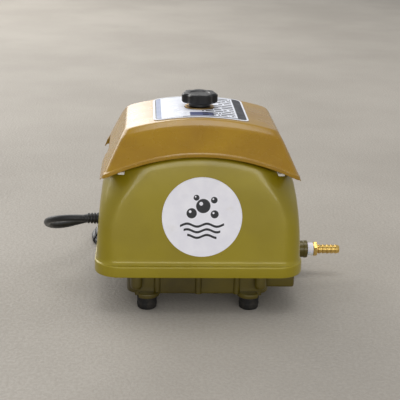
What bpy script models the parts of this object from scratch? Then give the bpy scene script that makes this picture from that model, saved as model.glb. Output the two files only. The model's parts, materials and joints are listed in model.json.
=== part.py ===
"""Linear diaphragm air pump for ponds and aquaria, as separate parts.

A die-cast tank stands on four rubber feet and carries a cast casing. Inside the casing a magnet
rod is driven to and fro between two coils, and works a diaphragm and a valve head at each end. Air
comes in under the arched filter cover and leaves through the hose barb on the right.

Lengths are in metres. +X is the outlet side, -Y is the front with the badge, and +Z is up. Places
are measured from the middle of the casing, which stands BODY_X away from the model's origin, so
that the origin is below the middle of everything but the loose cord.
"""

import math

import bmesh
import bpy
from mathutils import Matrix, Vector

# Driving dimensions
BODY_X = -0.0235  # the middle of the casing, from the origin
GAP = 0.0003  # left between pieces that touch

FLANGE_X = 0.1155  # half width of the casing's flange
FLANGE_Y = 0.0888  # half depth of the casing's flange
FLANGE_LOW = 0.0423
FLANGE_HIGH = 0.0554
CASING_TOP = 0.1728  # top of the rim in the middle
CASING_ARCH = 2.45  # the rim drops by this times x squared
CASING_WALL = 0.0035
COLLAR_TOP = 0.1788  # top of the collar that stands inside the cover's lower flange
DECK_HIGH = 0.152
DECK_LOW = 0.149

COVER_TOP = 0.2140
COVER_LOW = 0.1785
COVER_ARCH_TOP = 1.8
COVER_ARCH_LOW = 2.3
COVER_WALL = 0.0025
INTAKE_HIGH = 0.1635  # top of the air intake in each side of the cover
INTAKE_FRONT = 0.002
INTAKE_REAR = 0.071

TANK_X = 0.080
TANK_Y = 0.070
TANK_LOW = 0.016
TANK_WALL = 0.003
BASE_PLATE_HIGH = 0.0463
TANK_PLATE_LOW = 0.0484
TANK_PLATE_HIGH = 0.0504

FOOT_X = 0.0572
FOOT_Y = 0.0686
SOCKET_RADIUS = 0.0137
SOCKET_LOW = 0.0145
SOCKET_HIGH = 0.0195
SCREW_X = 0.069
SCREW_Y = 0.075

OUTLET_Y = 0.0345
OUTLET_Z = 0.0317
OUTLET_BORE = 0.0071
SPIGOT_END = 0.1373
TAPE_END = 0.1446
HEX_END = 0.1492
BARB_END = 0.1767

AXIS_Z = 0.094  # the line on which the magnet rod moves
HEAD_Y = 0.036
HEAD_LOW = 0.058
HEAD_HIGH = 0.130
DIAPHRAGM_X = 0.0543
HEAD_X = 0.0566
VALVE_PLATE_X = 0.0666
HEAD_END = 0.0800
INLET_FLAP_Z = 0.1015
OUTLET_FLAP_Z = 0.0865
BOOT_X = 0.0735

POST_TOP = 0.1735
STUD_RADIUS = 0.0038
STUD_LOW = 0.1655

BADGE_X = 0.0018
BADGE_Z = 0.109
BADGE_RADIUS = 0.0437

CORD_RADIUS = 0.004
CORD_EXIT_X = -0.1297
CORD_Z = 0.081
COIL_X = -0.072
COIL_Y = 0.158
COIL_MIDDLE = 0.046  # radius at the middle of the turns
PLUG_X = -0.0109  # where the cord enters the plug
PLUG_Y = 0.1693
PLUG_Z = 0.0128
PLUG_TURN = -50  # degrees about Z, from pointing along +X

# Half width, half depth and corner radius of the casing's outside at each height
WALL_ROWS = [
    (0.0590, 0.1135, 0.0830, 0.0240),
    (0.0750, 0.1131, 0.0812, 0.0225),
    (0.1000, 0.1121, 0.0783, 0.0210),
    (0.1200, 0.1109, 0.0757, 0.0230),
    (0.1400, 0.1094, 0.0730, 0.0300),
    (0.1550, 0.1077, 0.0706, 0.0400),
    (0.1688, 0.1053, 0.0680, 0.0480),
]


def srgb(red, green, blue):
    """A colour given as it looks on screen, from 0 to 255, in Blender's linear values."""
    return tuple((value / 255) ** 2.2 for value in (red, green, blue)) + (1.0,)


COLOURS = {
    "olive_paint": (srgb(128, 112, 28), 0.32, 0.15),
    "tan_plastic": (srgb(176, 142, 58), 0.3, 0.0),
    "black_plastic": (srgb(22, 22, 24), 0.35, 0.0),
    "black_rubber": (srgb(30, 29, 28), 0.7, 0.0),
    "brass": (srgb(222, 190, 120), 0.25, 1.0),
    "steel": (srgb(190, 190, 190), 0.3, 1.0),
    "laminations": (srgb(96, 98, 104), 0.45, 0.9),
    "copper": (srgb(184, 106, 62), 0.35, 0.9),
    "ferrite": (srgb(58, 58, 62), 0.5, 0.2),
    "white_label": (srgb(240, 239, 244), 0.4, 0.0),
    "white_tape": (srgb(228, 228, 236), 0.6, 0.0),
    "filter_felt": (srgb(206, 206, 198), 0.95, 0.0),
    "natural_plastic": (srgb(214, 208, 190), 0.45, 0.0),
}


# Scene helpers


def clear_scene():
    for obj in list(bpy.data.objects):
        bpy.data.objects.remove(obj, do_unlink=True)


def new_collection(name):
    collection = bpy.data.collections.new(name)
    bpy.context.scene.collection.children.link(collection)
    return collection


def make_materials():
    made = {}
    for name, (colour, roughness, metallic) in COLOURS.items():
        material = bpy.data.materials.new(name)
        material.use_nodes = True
        shader = material.node_tree.nodes["Principled BSDF"]
        shader.inputs["Base Color"].default_value = colour
        shader.inputs["Roughness"].default_value = roughness
        shader.inputs["Metallic"].default_value = metallic
        made[name] = material
    return made


clear_scene()
PARTS = new_collection("air_pump")
CUTTERS = new_collection("cutters")
MATERIALS = make_materials()
BODY = bpy.data.objects.new("casing_middle", None)
BODY.location.x = BODY_X
PARTS.objects.link(BODY)


def add_object(name, mesh, material=None, at=(0, 0, 0)):
    """A part if it has a material, or else a cutter. Its place is measured from the casing."""
    obj = bpy.data.objects.new(name, mesh)
    obj.parent = BODY
    obj.location = at
    if material:
        PARTS.objects.link(obj)
        mesh.materials.append(MATERIALS[material])
        mesh.shade_smooth()
        mesh.set_sharp_from_angle(angle=math.radians(32))
    else:
        CUTTERS.objects.link(obj)
        obj.hide_render = True
        obj.display_type = "WIRE"
    return obj


def mesh_from(bm, name):
    mesh = bpy.data.meshes.new(name)
    bm.normal_update()
    bm.to_mesh(mesh)
    bm.free()
    return mesh


def boolean(obj, other, operation):
    modifier = obj.modifiers.new(f"{operation.lower()}_{other.name}", "BOOLEAN")
    modifier.operation = operation
    modifier.solver = "EXACT"
    modifier.object = other


def cut(obj, *cutters):
    for cutter in cutters:
        boolean(obj, cutter, "DIFFERENCE")


def join(obj, *additions):
    for addition in additions:
        boolean(obj, addition, "UNION")


def bevel(obj, width, segments=2, angle=35):
    modifier = obj.modifiers.new("edges", "BEVEL")
    modifier.width = width
    modifier.segments = segments
    modifier.limit_method = "ANGLE"
    modifier.angle_limit = math.radians(angle)
    return obj


# Shapes


def box(name, low, high, material=None, at=(0, 0, 0)):
    bm = bmesh.new()
    bmesh.ops.create_cube(bm, size=1.0)
    low = Vector(low)
    high = Vector(high)
    bmesh.ops.scale(bm, vec=high - low, verts=bm.verts)
    bmesh.ops.translate(bm, vec=(low + high) / 2, verts=bm.verts)
    return add_object(name, mesh_from(bm, name), material, at)


def box_pair(name, low, high):
    """A cutter of two boxes that mirror each other across X."""
    bm = bmesh.new()
    low = Vector(low)
    high = Vector(high)
    for side in (-1, 1):
        made = bmesh.ops.create_cube(bm, size=1.0)
        bmesh.ops.scale(bm, vec=high - low, verts=made["verts"])
        middle = (low + high) / 2
        bmesh.ops.translate(bm, vec=(side * middle.x, middle.y, middle.z), verts=made["verts"])
    return add_object(name, mesh_from(bm, name))


def cylinder(name, radius, start, end, material=None, segments=24):
    """A round bar from start to end."""
    start = Vector(start)
    along = Vector(end) - start
    bm = bmesh.new()
    bmesh.ops.create_cone(
        bm,
        cap_ends=True,
        segments=segments,
        radius1=radius,
        radius2=radius,
        depth=along.length,
    )
    turn = Vector((0, 0, 1)).rotation_difference(along).to_matrix().to_4x4()
    bmesh.ops.transform(bm, matrix=Matrix.Translation(start + along / 2) @ turn, verts=bm.verts)
    return add_object(name, mesh_from(bm, name), material)


def turned(name, profile, material=None, at=(0, 0, 0), steps=24, closed=False, along_x=False):
    """A profile of (radius, height) turned about Z, or about X with its heights along +X.

    The profile runs down the outer side. A closed one goes on up the inner side, for a ring.
    """
    mesh = bpy.data.meshes.new(name)
    edges = [(i, i + 1) for i in range(len(profile) - 1)]
    if closed:
        edges.append((len(profile) - 1, 0))
    mesh.from_pydata([(radius, 0, height) for radius, height in profile], edges, [])
    obj = add_object(name, mesh, material, at)
    if along_x:
        obj.rotation_euler.y = math.pi / 2
    screw = obj.modifiers.new("turn", "SCREW")
    screw.axis = "Z"
    screw.steps = steps
    screw.render_steps = steps
    screw.use_merge_vertices = True
    screw.merge_threshold = 0.00001
    screw.use_smooth_shade = True
    return obj


def rounded_outline(half_x, half_y, radius, steps=5):
    """A rectangle with round corners, as points going anticlockwise."""
    points = []
    for quarter in range(4):
        side_x = 1 if quarter in (0, 3) else -1
        side_y = 1 if quarter in (0, 1) else -1
        for step in range(steps + 1):
            angle = (quarter + step / steps) * math.pi / 2
            x = side_x * (half_x - radius) + radius * math.cos(angle)
            y = side_y * (half_y - radius) + radius * math.sin(angle)
            points.append((x, y))
    return points


def slab(name, outline, low, high, material=None, at=(0, 0, 0), upright=None):
    """A flat outline with thickness, from height low to height high.

    upright "X" stands it up, with its outline in Y and Z and its thickness along X.
    """
    curve = bpy.data.curves.new(name, "CURVE")
    curve.dimensions = "2D"
    curve.fill_mode = "BOTH"
    curve.extrude = (high - low) / 2
    spline = curve.splines.new("POLY")
    spline.points.add(len(outline) - 1)
    for point, (x, y) in zip(spline.points, outline):
        point.co = (x, y, 0, 1)
    spline.use_cyclic_u = True
    mesh = mesh_of_curve(name, curve)
    mesh.transform(Matrix.Translation((0, 0, (low + high) / 2)))
    if upright == "X":
        mesh.transform(Matrix(((0, 0, 1, 0), (1, 0, 0, 0), (0, 1, 0, 0), (0, 0, 0, 1))))
    return add_object(name, mesh, material, at)


def mesh_of_curve(name, curve):
    """The curve's evaluated surface with its caps welded on."""
    holder = bpy.data.objects.new(f"{name}_curve", curve)
    bpy.context.scene.collection.objects.link(holder)
    graph = bpy.context.evaluated_depsgraph_get()
    mesh = bpy.data.meshes.new_from_object(holder.evaluated_get(graph))
    bpy.data.objects.remove(holder, do_unlink=True)
    bm = bmesh.new()
    bm.from_mesh(mesh)
    bmesh.ops.remove_doubles(bm, verts=bm.verts, dist=0.000001)
    bm.to_mesh(mesh)
    bm.free()
    mesh.materials.clear()
    return mesh


def loft(rings, closed_start=True):
    """Skin rings of equal point counts, each anticlockwise, and close the ends."""
    bm = bmesh.new()
    rows = [[bm.verts.new(point) for point in ring] for ring in rings]
    count = len(rows[0])
    for row, above in zip(rows, rows[1:]):
        for i in range(count):
            after = (i + 1) % count
            bm.faces.new((row[i], row[after], above[after], above[i]))
    if closed_start:
        bm.faces.new(list(reversed(rows[0])))
    bm.faces.new(rows[-1])
    return bm


def slice_mesh(bm, axis, places):
    """Add edges across the mesh, so that it bends smoothly."""
    for place in places:
        point = [0, 0, 0]
        normal = [0, 0, 0]
        point[axis] = place
        normal[axis] = 1
        bmesh.ops.bisect_plane(
            bm,
            geom=[*bm.verts, *bm.edges, *bm.faces],
            plane_co=point,
            plane_no=normal,
            dist=0.00001,
        )


def steps_between(first, last, count):
    return [first + (last - first) * i / (count - 1) for i in range(count)]


def four_corners(x, y):
    return [(side_x * x, side_y * y) for side_x in (-1, 1) for side_y in (-1, 1)]


# The casing's curved form


def wall_at(height):
    """Half width, half depth and corner radius of the casing's outside, before it is arched."""
    if height <= WALL_ROWS[0][0]:
        return WALL_ROWS[0][1:]
    for low, high in zip(WALL_ROWS, WALL_ROWS[1:]):
        if height <= high[0]:
            share = (height - low[0]) / (high[0] - low[0])
            return tuple(a + (b - a) * share for a, b in zip(low[1:], high[1:]))
    return WALL_ROWS[-1][1:]


def arch_casing(point):
    """Bend the casing's upper part into its arch. Nothing moves below the first wall row."""
    x, y, z = point
    low = WALL_ROWS[0][0]
    share = min(max((z - low) / (CASING_TOP - low), 0), 1)
    return Vector((x, y, z - CASING_ARCH * x * x * share))


def casing_height_before_arch(x, z):
    """The height that arch_casing moves to z at x."""
    low = WALL_ROWS[0][0]
    if z <= low:
        return z
    drop = CASING_ARCH * x * x
    return (z - low * drop / (CASING_TOP - low)) / (1 - drop / (CASING_TOP - low))


def ring_at(half_x, half_y, radius, height):
    return [(x, y, height) for x, y in rounded_outline(half_x, half_y, radius)]


def arched(bm, bend):
    for vert in bm.verts:
        vert.co = bend(vert.co)
    return bm


def casing_shell():
    """The cast shell: flange, leaning walls, rim, collar, a tray with its deck, and the hollow."""
    outside = [
        ring_at(FLANGE_X - 0.0008, FLANGE_Y - 0.0008, 0.0272, FLANGE_LOW),
        ring_at(FLANGE_X, FLANGE_Y, 0.028, FLANGE_LOW + 0.0008),
        ring_at(FLANGE_X, FLANGE_Y, 0.028, FLANGE_HIGH - 0.0010),
        ring_at(FLANGE_X - 0.0008, FLANGE_Y - 0.0010, 0.0272, FLANGE_HIGH),
        ring_at(0.1139, 0.0848, 0.0252, FLANGE_HIGH + 0.0003),
        ring_at(0.1136, 0.0836, 0.0244, FLANGE_HIGH + 0.0014),
    ]
    outside += [ring_at(*row[1:], row[0]) for row in WALL_ROWS]
    rim = [
        ring_at(0.1043, 0.0670, 0.0470, CASING_TOP - 0.0016),
        ring_at(0.1026, 0.0654, 0.0454, CASING_TOP - 0.0003),
        ring_at(0.1013, 0.0642, 0.0442, CASING_TOP),
        ring_at(0.0990, 0.0596, 0.0400, CASING_TOP + 0.0001),
        ring_at(0.0986, 0.0592, 0.0396, COLLAR_TOP),
        ring_at(0.0966, 0.0572, 0.0376, COLLAR_TOP),
        ring_at(0.0962, 0.0568, 0.0372, DECK_HIGH),
    ]
    half_x, half_y, radius = wall_at(DECK_LOW)
    inside = [ring_at(half_x - CASING_WALL, half_y - CASING_WALL, radius - CASING_WALL, DECK_LOW)]
    for height, wide, deep, corner in reversed(WALL_ROWS[1:5]):
        inside.append(ring_at(wide - CASING_WALL, deep - CASING_WALL, corner - CASING_WALL, height))
    step = TANK_PLATE_HIGH + GAP
    inside.append(ring_at(0.1100, 0.0795, 0.0205, step))
    inside.append(ring_at(0.1113, 0.0846, 0.0238, step))
    inside.append(ring_at(0.1113, 0.0846, 0.0238, FLANGE_LOW))
    bm = loft(inside + outside + rim)
    slice_mesh(bm, 0, steps_between(-0.088, 0.088, 9))
    return arched(bm, arch_casing)


def make_upper_housing():
    housing = add_object("upper_housing", mesh_from(casing_shell(), "upper_housing"), "olive_paint")
    step = TANK_PLATE_HIGH + GAP
    for index, (x, y) in enumerate(four_corners(SCREW_X, SCREW_Y)):
        join(housing, cylinder(f"boss_{index}", 0.005, (x, y, step), (x, y, 0.076), segments=16))
        hole = cylinder(f"boss_hole_{index}", 0.0023, (x, y, 0.050), (x, y, 0.0705), segments=12)
        cut(housing, hole)
    join(housing, cylinder("post", 0.0085, (0, 0, DECK_LOW + 0.001), (0, 0, POST_TOP)))
    cut(housing, cylinder("post_hole", STUD_RADIUS + GAP, (0, 0, 0.158), (0, 0, 0.18), segments=16))
    for index, (x, y) in enumerate(four_corners(0.030, 0.018)):
        air_hole = cylinder(f"deck_hole_{index}", 0.006, (x, y, 0.14), (x, y, 0.16), segments=14)
        cut(housing, air_hole)
    cut(housing, cylinder("cord_hole", 0.0060, (-0.13, 0, CORD_Z), (-0.10, 0, CORD_Z)))


# The filter cover


def arch_cover(point):
    """Bend the cover into its arch, and draw the lower edge of each side down between corners."""
    x, y, z = point
    share = min(max((COVER_TOP - z) / (COVER_TOP - COVER_LOW), 0), 1)
    arch = COVER_ARCH_TOP + (COVER_ARCH_LOW - COVER_ARCH_TOP) * share
    skirt = min(max((0.080 - abs(y)) / 0.012, 0), 1) * min(max((0.1803 - z) / 0.0012, 0), 1)
    if abs(x) < 0.099:
        skirt = 0
    drop = 0.0045 * skirt
    return Vector((x + math.copysign(drop / 2, x), y, z - arch * x * x - drop))


def cover_shell():
    """The moulded cover: arched top, bevel band, sloping faces, lip and inward lower flange."""
    outside = [
        ring_at(0.1066, 0.0855, 0.0082, COVER_LOW),
        ring_at(0.1071, 0.0860, 0.0086, COVER_LOW + 0.0006),
        ring_at(0.1056, 0.0857, 0.0083, 0.1822),
        ring_at(0.1042, 0.0840, 0.0080, 0.1831),
        ring_at(0.0884, 0.0693, 0.0074, 0.2066),
        ring_at(0.0864, 0.0670, 0.0072, 0.2092),
        ring_at(0.0828, 0.0604, 0.0070, 0.2134),
        ring_at(0.0806, 0.0580, 0.0060, COVER_TOP),
    ]
    under = COVER_LOW + COVER_WALL
    inside = [
        ring_at(0.0790, 0.0562, 0.0050, COVER_TOP - COVER_WALL),
        ring_at(0.0842, 0.0650, 0.0050, 0.2064),
        ring_at(0.1000, 0.0808, 0.0060, under + 0.0012),
        ring_at(0.1012, 0.0818, 0.0060, under),
        ring_at(0.1008, 0.0612, 0.0040, under - 0.0002),
        ring_at(0.1032, 0.0604, 0.0040, COVER_LOW),
    ]
    bm = loft(inside + outside)
    slice_mesh(bm, 0, steps_between(-0.088, 0.088, 9))
    slice_mesh(bm, 1, [-0.080, -0.068, 0, 0.068, 0.080])
    return arched(bm, arch_cover)


def make_filter_cover():
    cover = add_object("filter_cover", mesh_from(cover_shell(), "filter_cover"), "tan_plastic")
    cut(cover, cylinder("stud_hole", STUD_RADIUS + 0.0007, (0, 0, 0.20), (0, 0, 0.22)))
    low = (0.094, INTAKE_FRONT, 0.130)
    cut(cover, box_pair("intakes", low, (0.130, INTAKE_REAR, INTAKE_HIGH)))


def make_rating_label():
    """A thin plate stuck on the cover's top, with a hole round the knob's washer."""
    lift = COVER_TOP + GAP
    outline = rounded_outline(0.052, 0.054, 0.009)
    low = [(x, y + 0.002, lift) for x, y in outline]
    high = [(x, y + 0.002, lift + 0.0005) for x, y in outline]
    bm = loft([low, high])
    slice_mesh(bm, 0, steps_between(-0.042, 0.042, 7))
    arched(bm, lambda p: Vector((p.x, p.y, p.z - COVER_ARCH_TOP * p.x * p.x)))
    label = add_object("rating_label", mesh_from(bm, "rating_label"), "white_label")
    cut(label, cylinder("label_hole", 0.0172, (0, 0, 0.20), (0, 0, 0.22), segments=32))


def make_filter_felt():
    """The felt filter that lies in the tray on the casing's deck, round the post."""
    low = DECK_HIGH + GAP
    bm = loft([ring_at(0.095, 0.0555, 0.036, low), ring_at(0.095, 0.0555, 0.036, low + 0.012)])
    slice_mesh(bm, 0, steps_between(-0.078, 0.078, 9))
    mesh = mesh_from(arched(bm, arch_casing), "filter_felt")
    felt = add_object("filter_felt", mesh, "filter_felt")
    cut(felt, cylinder("felt_hole", 0.0095, (0, 0, 0.14), (0, 0, 0.18)))


def make_cover_pads():
    """Four soft blocks between the casing's rim and the cover's lower flange."""
    names = ["rear_left", "rear_right", "front_left", "front_right"]
    sides = [(-1, 1), (1, 1), (-1, -1), (1, -1)]
    for name, (side_x, side_y) in zip(names, sides):
        low = [0, 0, 0.1566]
        high = [0, 0, 0.1595]
        low[0], high[0] = sorted((side_x * 0.0825, side_x * 0.0895))
        low[1], high[1] = sorted((side_y * 0.0530, side_y * 0.0790))
        pad = box(f"cover_pad_{name}", low, high, "natural_plastic")
        bevel(pad, 0.0008, 1)


# The knob


def knob_outline(radius, depth, lobes, points_per_lobe=8):
    """A round outline with smooth finger hollows. One of its lobes points to the back."""
    count = lobes * points_per_lobe
    outline = []
    for i in range(count):
        angle = 2 * math.pi * i / count
        hollow = (1 + math.cos(lobes * angle)) / 2
        reach = radius - depth * (1 - hollow) ** 1.4
        outline.append((-reach * math.sin(angle), reach * math.cos(angle)))
    return outline


def make_knob():
    """The lobed knob with its neck, the steel stud moulded into it, and the washer below it."""
    head = slab("cover_knob", knob_outline(0.0205, 0.0024, 7), 0.2200, 0.2308, "black_plastic")
    join(head, cylinder("knob_neck", 0.0125, (0, 0, 0.2159), (0, 0, 0.2215), segments=28))
    cut(head, cylinder("knob_dish", 0.0106, (0, 0, 0.2295), (0, 0, 0.2320), segments=28))
    cut(head, cylinder("stud_socket", STUD_RADIUS + GAP, (0, 0, 0.2140), (0, 0, 0.2248), segments=16))
    cylinder("knob_stud", STUD_RADIUS, (0, 0, STUD_LOW), (0, 0, 0.2245), "steel", segments=16)
    profile = [(0.01635, 0.2156), (0.01635, 0.2143), (0.0048, 0.2143), (0.0048, 0.2156)]
    turned("knob_washer", profile, "steel", steps=32, closed=True)


# The tank and what is under the casing


def make_base_tank():
    """The cast tank with its top plate, ribs, foot sockets, screw bosses and outlet spigot."""
    outline = rounded_outline(TANK_X, TANK_Y, 0.015)
    tank = slab("base_tank", outline, TANK_LOW, FLANGE_LOW + 0.001, "olive_paint")
    plate = rounded_outline(0.1105, 0.0838, 0.023)
    join(tank, slab("top_plate", plate, FLANGE_LOW, BASE_PLATE_HIGH))
    for index, x in enumerate((-0.046, 0.0, 0.043)):
        for side in (-1, 1):
            low = (x, side * (TANK_Y - 0.0005), TANK_LOW + 0.0008)
            high = (x, side * (TANK_Y - 0.0005), FLANGE_LOW + 0.001)
            join(tank, cylinder(f"rib_{index}_{side}", 0.0038, low, high, segments=12))
    duct = box("duct", (0.075, -0.065, 0.022), (0.1085, 0.052, FLANGE_LOW + 0.001))
    join(tank, bevel(duct, 0.003, 1))
    for index, (x, y) in enumerate(four_corners(FOOT_X, FOOT_Y)):
        low = (x, y, SOCKET_LOW)
        join(tank, cylinder(f"socket_{index}", SOCKET_RADIUS, low, (x, y, SOCKET_HIGH), segments=24))
    for index, (x, y) in enumerate(four_corners(SCREW_X, SCREW_Y)):
        dome = [(0, 0.011), (0.0067, 0.011), (0.0067, -0.0043), (0.0058, -0.0069), (0, -0.008)]
        join(tank, turned(f"screw_boss_{index}", dome, at=(x, y, 0.0323), steps=14))
    join(tank, spigot())
    cut(tank, *tank_cutters())


def spigot():
    """The round boss on the right that the hose barb screws into."""
    start = (0.105, OUTLET_Y, OUTLET_Z)
    return cylinder("spigot", 0.0102, start, (SPIGOT_END, OUTLET_Y, OUTLET_Z), segments=28)


def tank_cutters():
    inner = rounded_outline(TANK_X - TANK_WALL, TANK_Y - TANK_WALL, 0.012)
    cutters = [slab("chamber", inner, TANK_LOW + TANK_WALL, 0.060)]
    cutters.append(box("duct_hollow", (0.084, -0.061, 0.0255), (0.105, 0.020, 0.060)))
    start = (0.070, OUTLET_Y, OUTLET_Z)
    end = (SPIGOT_END + 0.01, OUTLET_Y, OUTLET_Z)
    cutters.append(cylinder("outlet_bore", OUTLET_BORE, start, end, segments=20))
    for index, (x, y) in enumerate(four_corners(FOOT_X, FOOT_Y)):
        cutters.append(cylinder(f"foot_hole_{index}", 0.0063, (x, y, 0), (x, y, 0.0175), segments=16))
    for index, (x, y) in enumerate(four_corners(SCREW_X, SCREW_Y)):
        cutters.append(cylinder(f"driver_hole_{index}", 0.0045, (x, y, 0), (x, y, 0.034), segments=16))
        cutters.append(cylinder(f"screw_hole_{index}", 0.0024, (x, y, 0.03), (x, y, 0.06), segments=12))
    return cutters


def screw_clearances(label):
    holes = []
    for index, (x, y) in enumerate(four_corners(SCREW_X, SCREW_Y)):
        holes.append(cylinder(f"{label}_hole_{index}", 0.0026, (x, y, 0.04), (x, y, 0.06), segments=12))
    return holes


def make_gasket_and_plate():
    """The rubber gasket on the tank, and the steel plate that closes the tank."""
    low = BASE_PLATE_HIGH + GAP
    outline = rounded_outline(0.1098, 0.0831, 0.0225)
    gasket = slab("tank_gasket", outline, low, TANK_PLATE_LOW - GAP, "black_rubber")
    opening = rounded_outline(TANK_X - TANK_WALL, TANK_Y - TANK_WALL, 0.012)
    cut(gasket, slab("gasket_opening", opening, 0.04, 0.06), *screw_clearances("gasket"))
    plate = slab("tank_plate", outline, TANK_PLATE_LOW, TANK_PLATE_HIGH, "steel")
    cut(plate, *screw_clearances("plate"))
    for side in (-1, 1):
        x = side * BOOT_X
        cut(plate, cylinder(f"air_way_{side}", 0.0034, (x, 0, 0.04), (x, 0, 0.06), segments=14))


def make_feet():
    """Four rubber feet, pushed up into their sockets."""
    low = SOCKET_LOW - GAP
    profile = [
        (0, 0.0170),
        (0.0056, 0.0170),
        (0.0060, 0.0162),
        (0.0060, low),
        (0.0108, low),
        (0.0112, low - 0.0008),
        (0.0106, 0.0012),
        (0.0096, 0),
        (0, 0),
    ]
    names = ["front_left", "rear_left", "front_right", "rear_right"]
    for name, (x, y) in zip(names, four_corners(FOOT_X, FOOT_Y)):
        turned(f"foot_{name}", profile, "black_rubber", at=(x, y, 0), steps=18)


def make_case_screws():
    """Four screws up through the tank and the plate into the casing's bosses."""
    head_low = 0.0303
    head_high = 0.034 - GAP
    profile = [
        (0, 0.0680),
        (0.0014, 0.0680),
        (0.0020, 0.0672),
        (0.0020, head_high),
        (0.0040, head_high),
        (0.0040, head_low + 0.0008),
        (0.0034, head_low),
        (0, head_low),
    ]
    names = ["front_left", "rear_left", "front_right", "rear_right"]
    for name, (x, y) in zip(names, four_corners(SCREW_X, SCREW_Y)):
        turned(f"case_screw_{name}", profile, "steel", at=(x, y, 0), steps=12)


# The outlet


def barb_profile():
    """The barb's outside from its tip back to the thread, then its bore, by radius and X."""
    points = [(0.0042, BARB_END), (0.0047, BARB_END - 0.0006)]
    barbs = 5
    pitch = (BARB_END - 0.0020 - HEX_END) / barbs
    for i in range(barbs):
        ridge = BARB_END - 0.0006 - pitch * (i + 1) + 0.0006
        points += [(0.0056, ridge + 0.0004), (0.0056, ridge), (0.0047, ridge - 0.0005)]
    points += [(0.0047, HEX_END - 0.001), (0.0066, HEX_END - 0.0012), (0.0066, TAPE_END)]
    points += [(0.0066, 0.1225), (0.0060, 0.1215), (0.0032, 0.1215), (0.0032, BARB_END)]
    return points


def make_outlet():
    """The brass hose barb with its hexagon, and the tape wound on its thread."""
    at = (0, OUTLET_Y, OUTLET_Z)
    barb = turned("hose_barb", barb_profile(), "brass", at=at, steps=16, closed=True, along_x=True)
    start = (TAPE_END + GAP, OUTLET_Y, OUTLET_Z)
    hexagon = cylinder("hexagon", 0.0092, start, (HEX_END, OUTLET_Y, OUTLET_Z), segments=6)
    join(barb, hexagon)
    start = (0.118, OUTLET_Y, OUTLET_Z)
    bore = cylinder("barb_bore", 0.0032, start, (0.18, OUTLET_Y, OUTLET_Z), segments=20)
    cut(barb, bore)
    inner = 0.0066 + GAP
    low = SPIGOT_END + GAP
    profile = [(0.0074, TAPE_END), (0.0078, TAPE_END - 0.0010), (0.0077, low + 0.0010)]
    profile += [(0.0075, low), (inner, low), (inner, TAPE_END)]
    turned("thread_tape", profile, "white_tape", at=at, steps=20, closed=True, along_x=True)


# The mechanism


def make_motor_frame():
    """The cast frame: a base, pedestals for the cores and an end wall for each diaphragm."""
    low = 0.056
    frame = box("motor_frame", (-0.054, -0.036, low), (0.054, 0.036, low + 0.003), "steel")
    for side in (-1, 1):
        ends = sorted((side * 0.0515, side * 0.0540))
        outline = rounded_outline(HEAD_Y, (HEAD_HIGH - low) / 2, 0.006, 3)
        outline = [(y, z + (HEAD_HIGH + low) / 2) for y, z in outline]
        join(frame, slab(f"end_wall_{side}", outline, *ends, upright="X"))
        y_range = sorted((side * 0.0285, side * 0.0355))
        pedestal_low = (-0.022, y_range[0], low + 0.001)
        join(frame, box(f"pedestal_{side}", pedestal_low, (0.022, y_range[1], 0.0817)))
        start = (side * 0.045, 0, AXIS_Z)
        cut(frame, cylinder(f"wall_hole_{side}", 0.028, start, (side * 0.06, 0, AXIS_Z), segments=28))


def make_isolators():
    """Four waisted rubber mounts between the tank's plate and the motor's frame."""
    low = TANK_PLATE_HIGH + GAP
    high = 0.056 - GAP
    middle = (low + high) / 2
    profile = [(0, high), (0.0058, high), (0.0044, middle), (0.0058, low), (0, low)]
    names = ["front_left", "rear_left", "front_right", "rear_right"]
    for name, (x, y) in zip(names, four_corners(0.042, 0.028)):
        turned(f"isolator_{name}", profile, "black_rubber", at=(x, y, 0), steps=18)


def make_cores_and_coils():
    """An E-shaped stack of laminations in front of and behind the rod, each with its coil."""
    low = 0.0820
    high = 0.1060
    for name, side in (("front", -1), ("rear", 1)):
        y_back = sorted((side * 0.0280, side * 0.0360))
        core_name = f"core_{name}"
        core = box(core_name, (-0.024, y_back[0], low), (0.024, y_back[1], high), "laminations")
        y_leg = sorted((side * 0.0052, side * 0.0285))
        legs = [(-0.024, -0.018), (-0.005, 0.005), (0.018, 0.024)]
        for index, (left, right) in enumerate(legs):
            join(core, box(f"leg_{name}_{index}", (left, y_leg[0], low), (right, y_leg[1], high)))
        y_coil = sorted((side * 0.0065, side * 0.0275))
        outline = rounded_outline(0.0175, 0.0225, 0.006, 4)
        coil = slab(f"coil_{name}", outline, *y_coil, "copper")
        stand_along_y(coil)
        window = box(f"coil_window_{name}", (-0.0055, -0.04, 0.0815), (0.0055, 0.04, 0.1065))
        cut(coil, window)


def stand_along_y(obj):
    """Turn a slab so that its thickness lies along Y, centred on the magnet rod's line."""
    turn = Matrix(((1, 0, 0, 0), (0, 0, 1, 0), (0, -1, 0, AXIS_Z), (0, 0, 0, 1)))
    obj.data.transform(turn)


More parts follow.
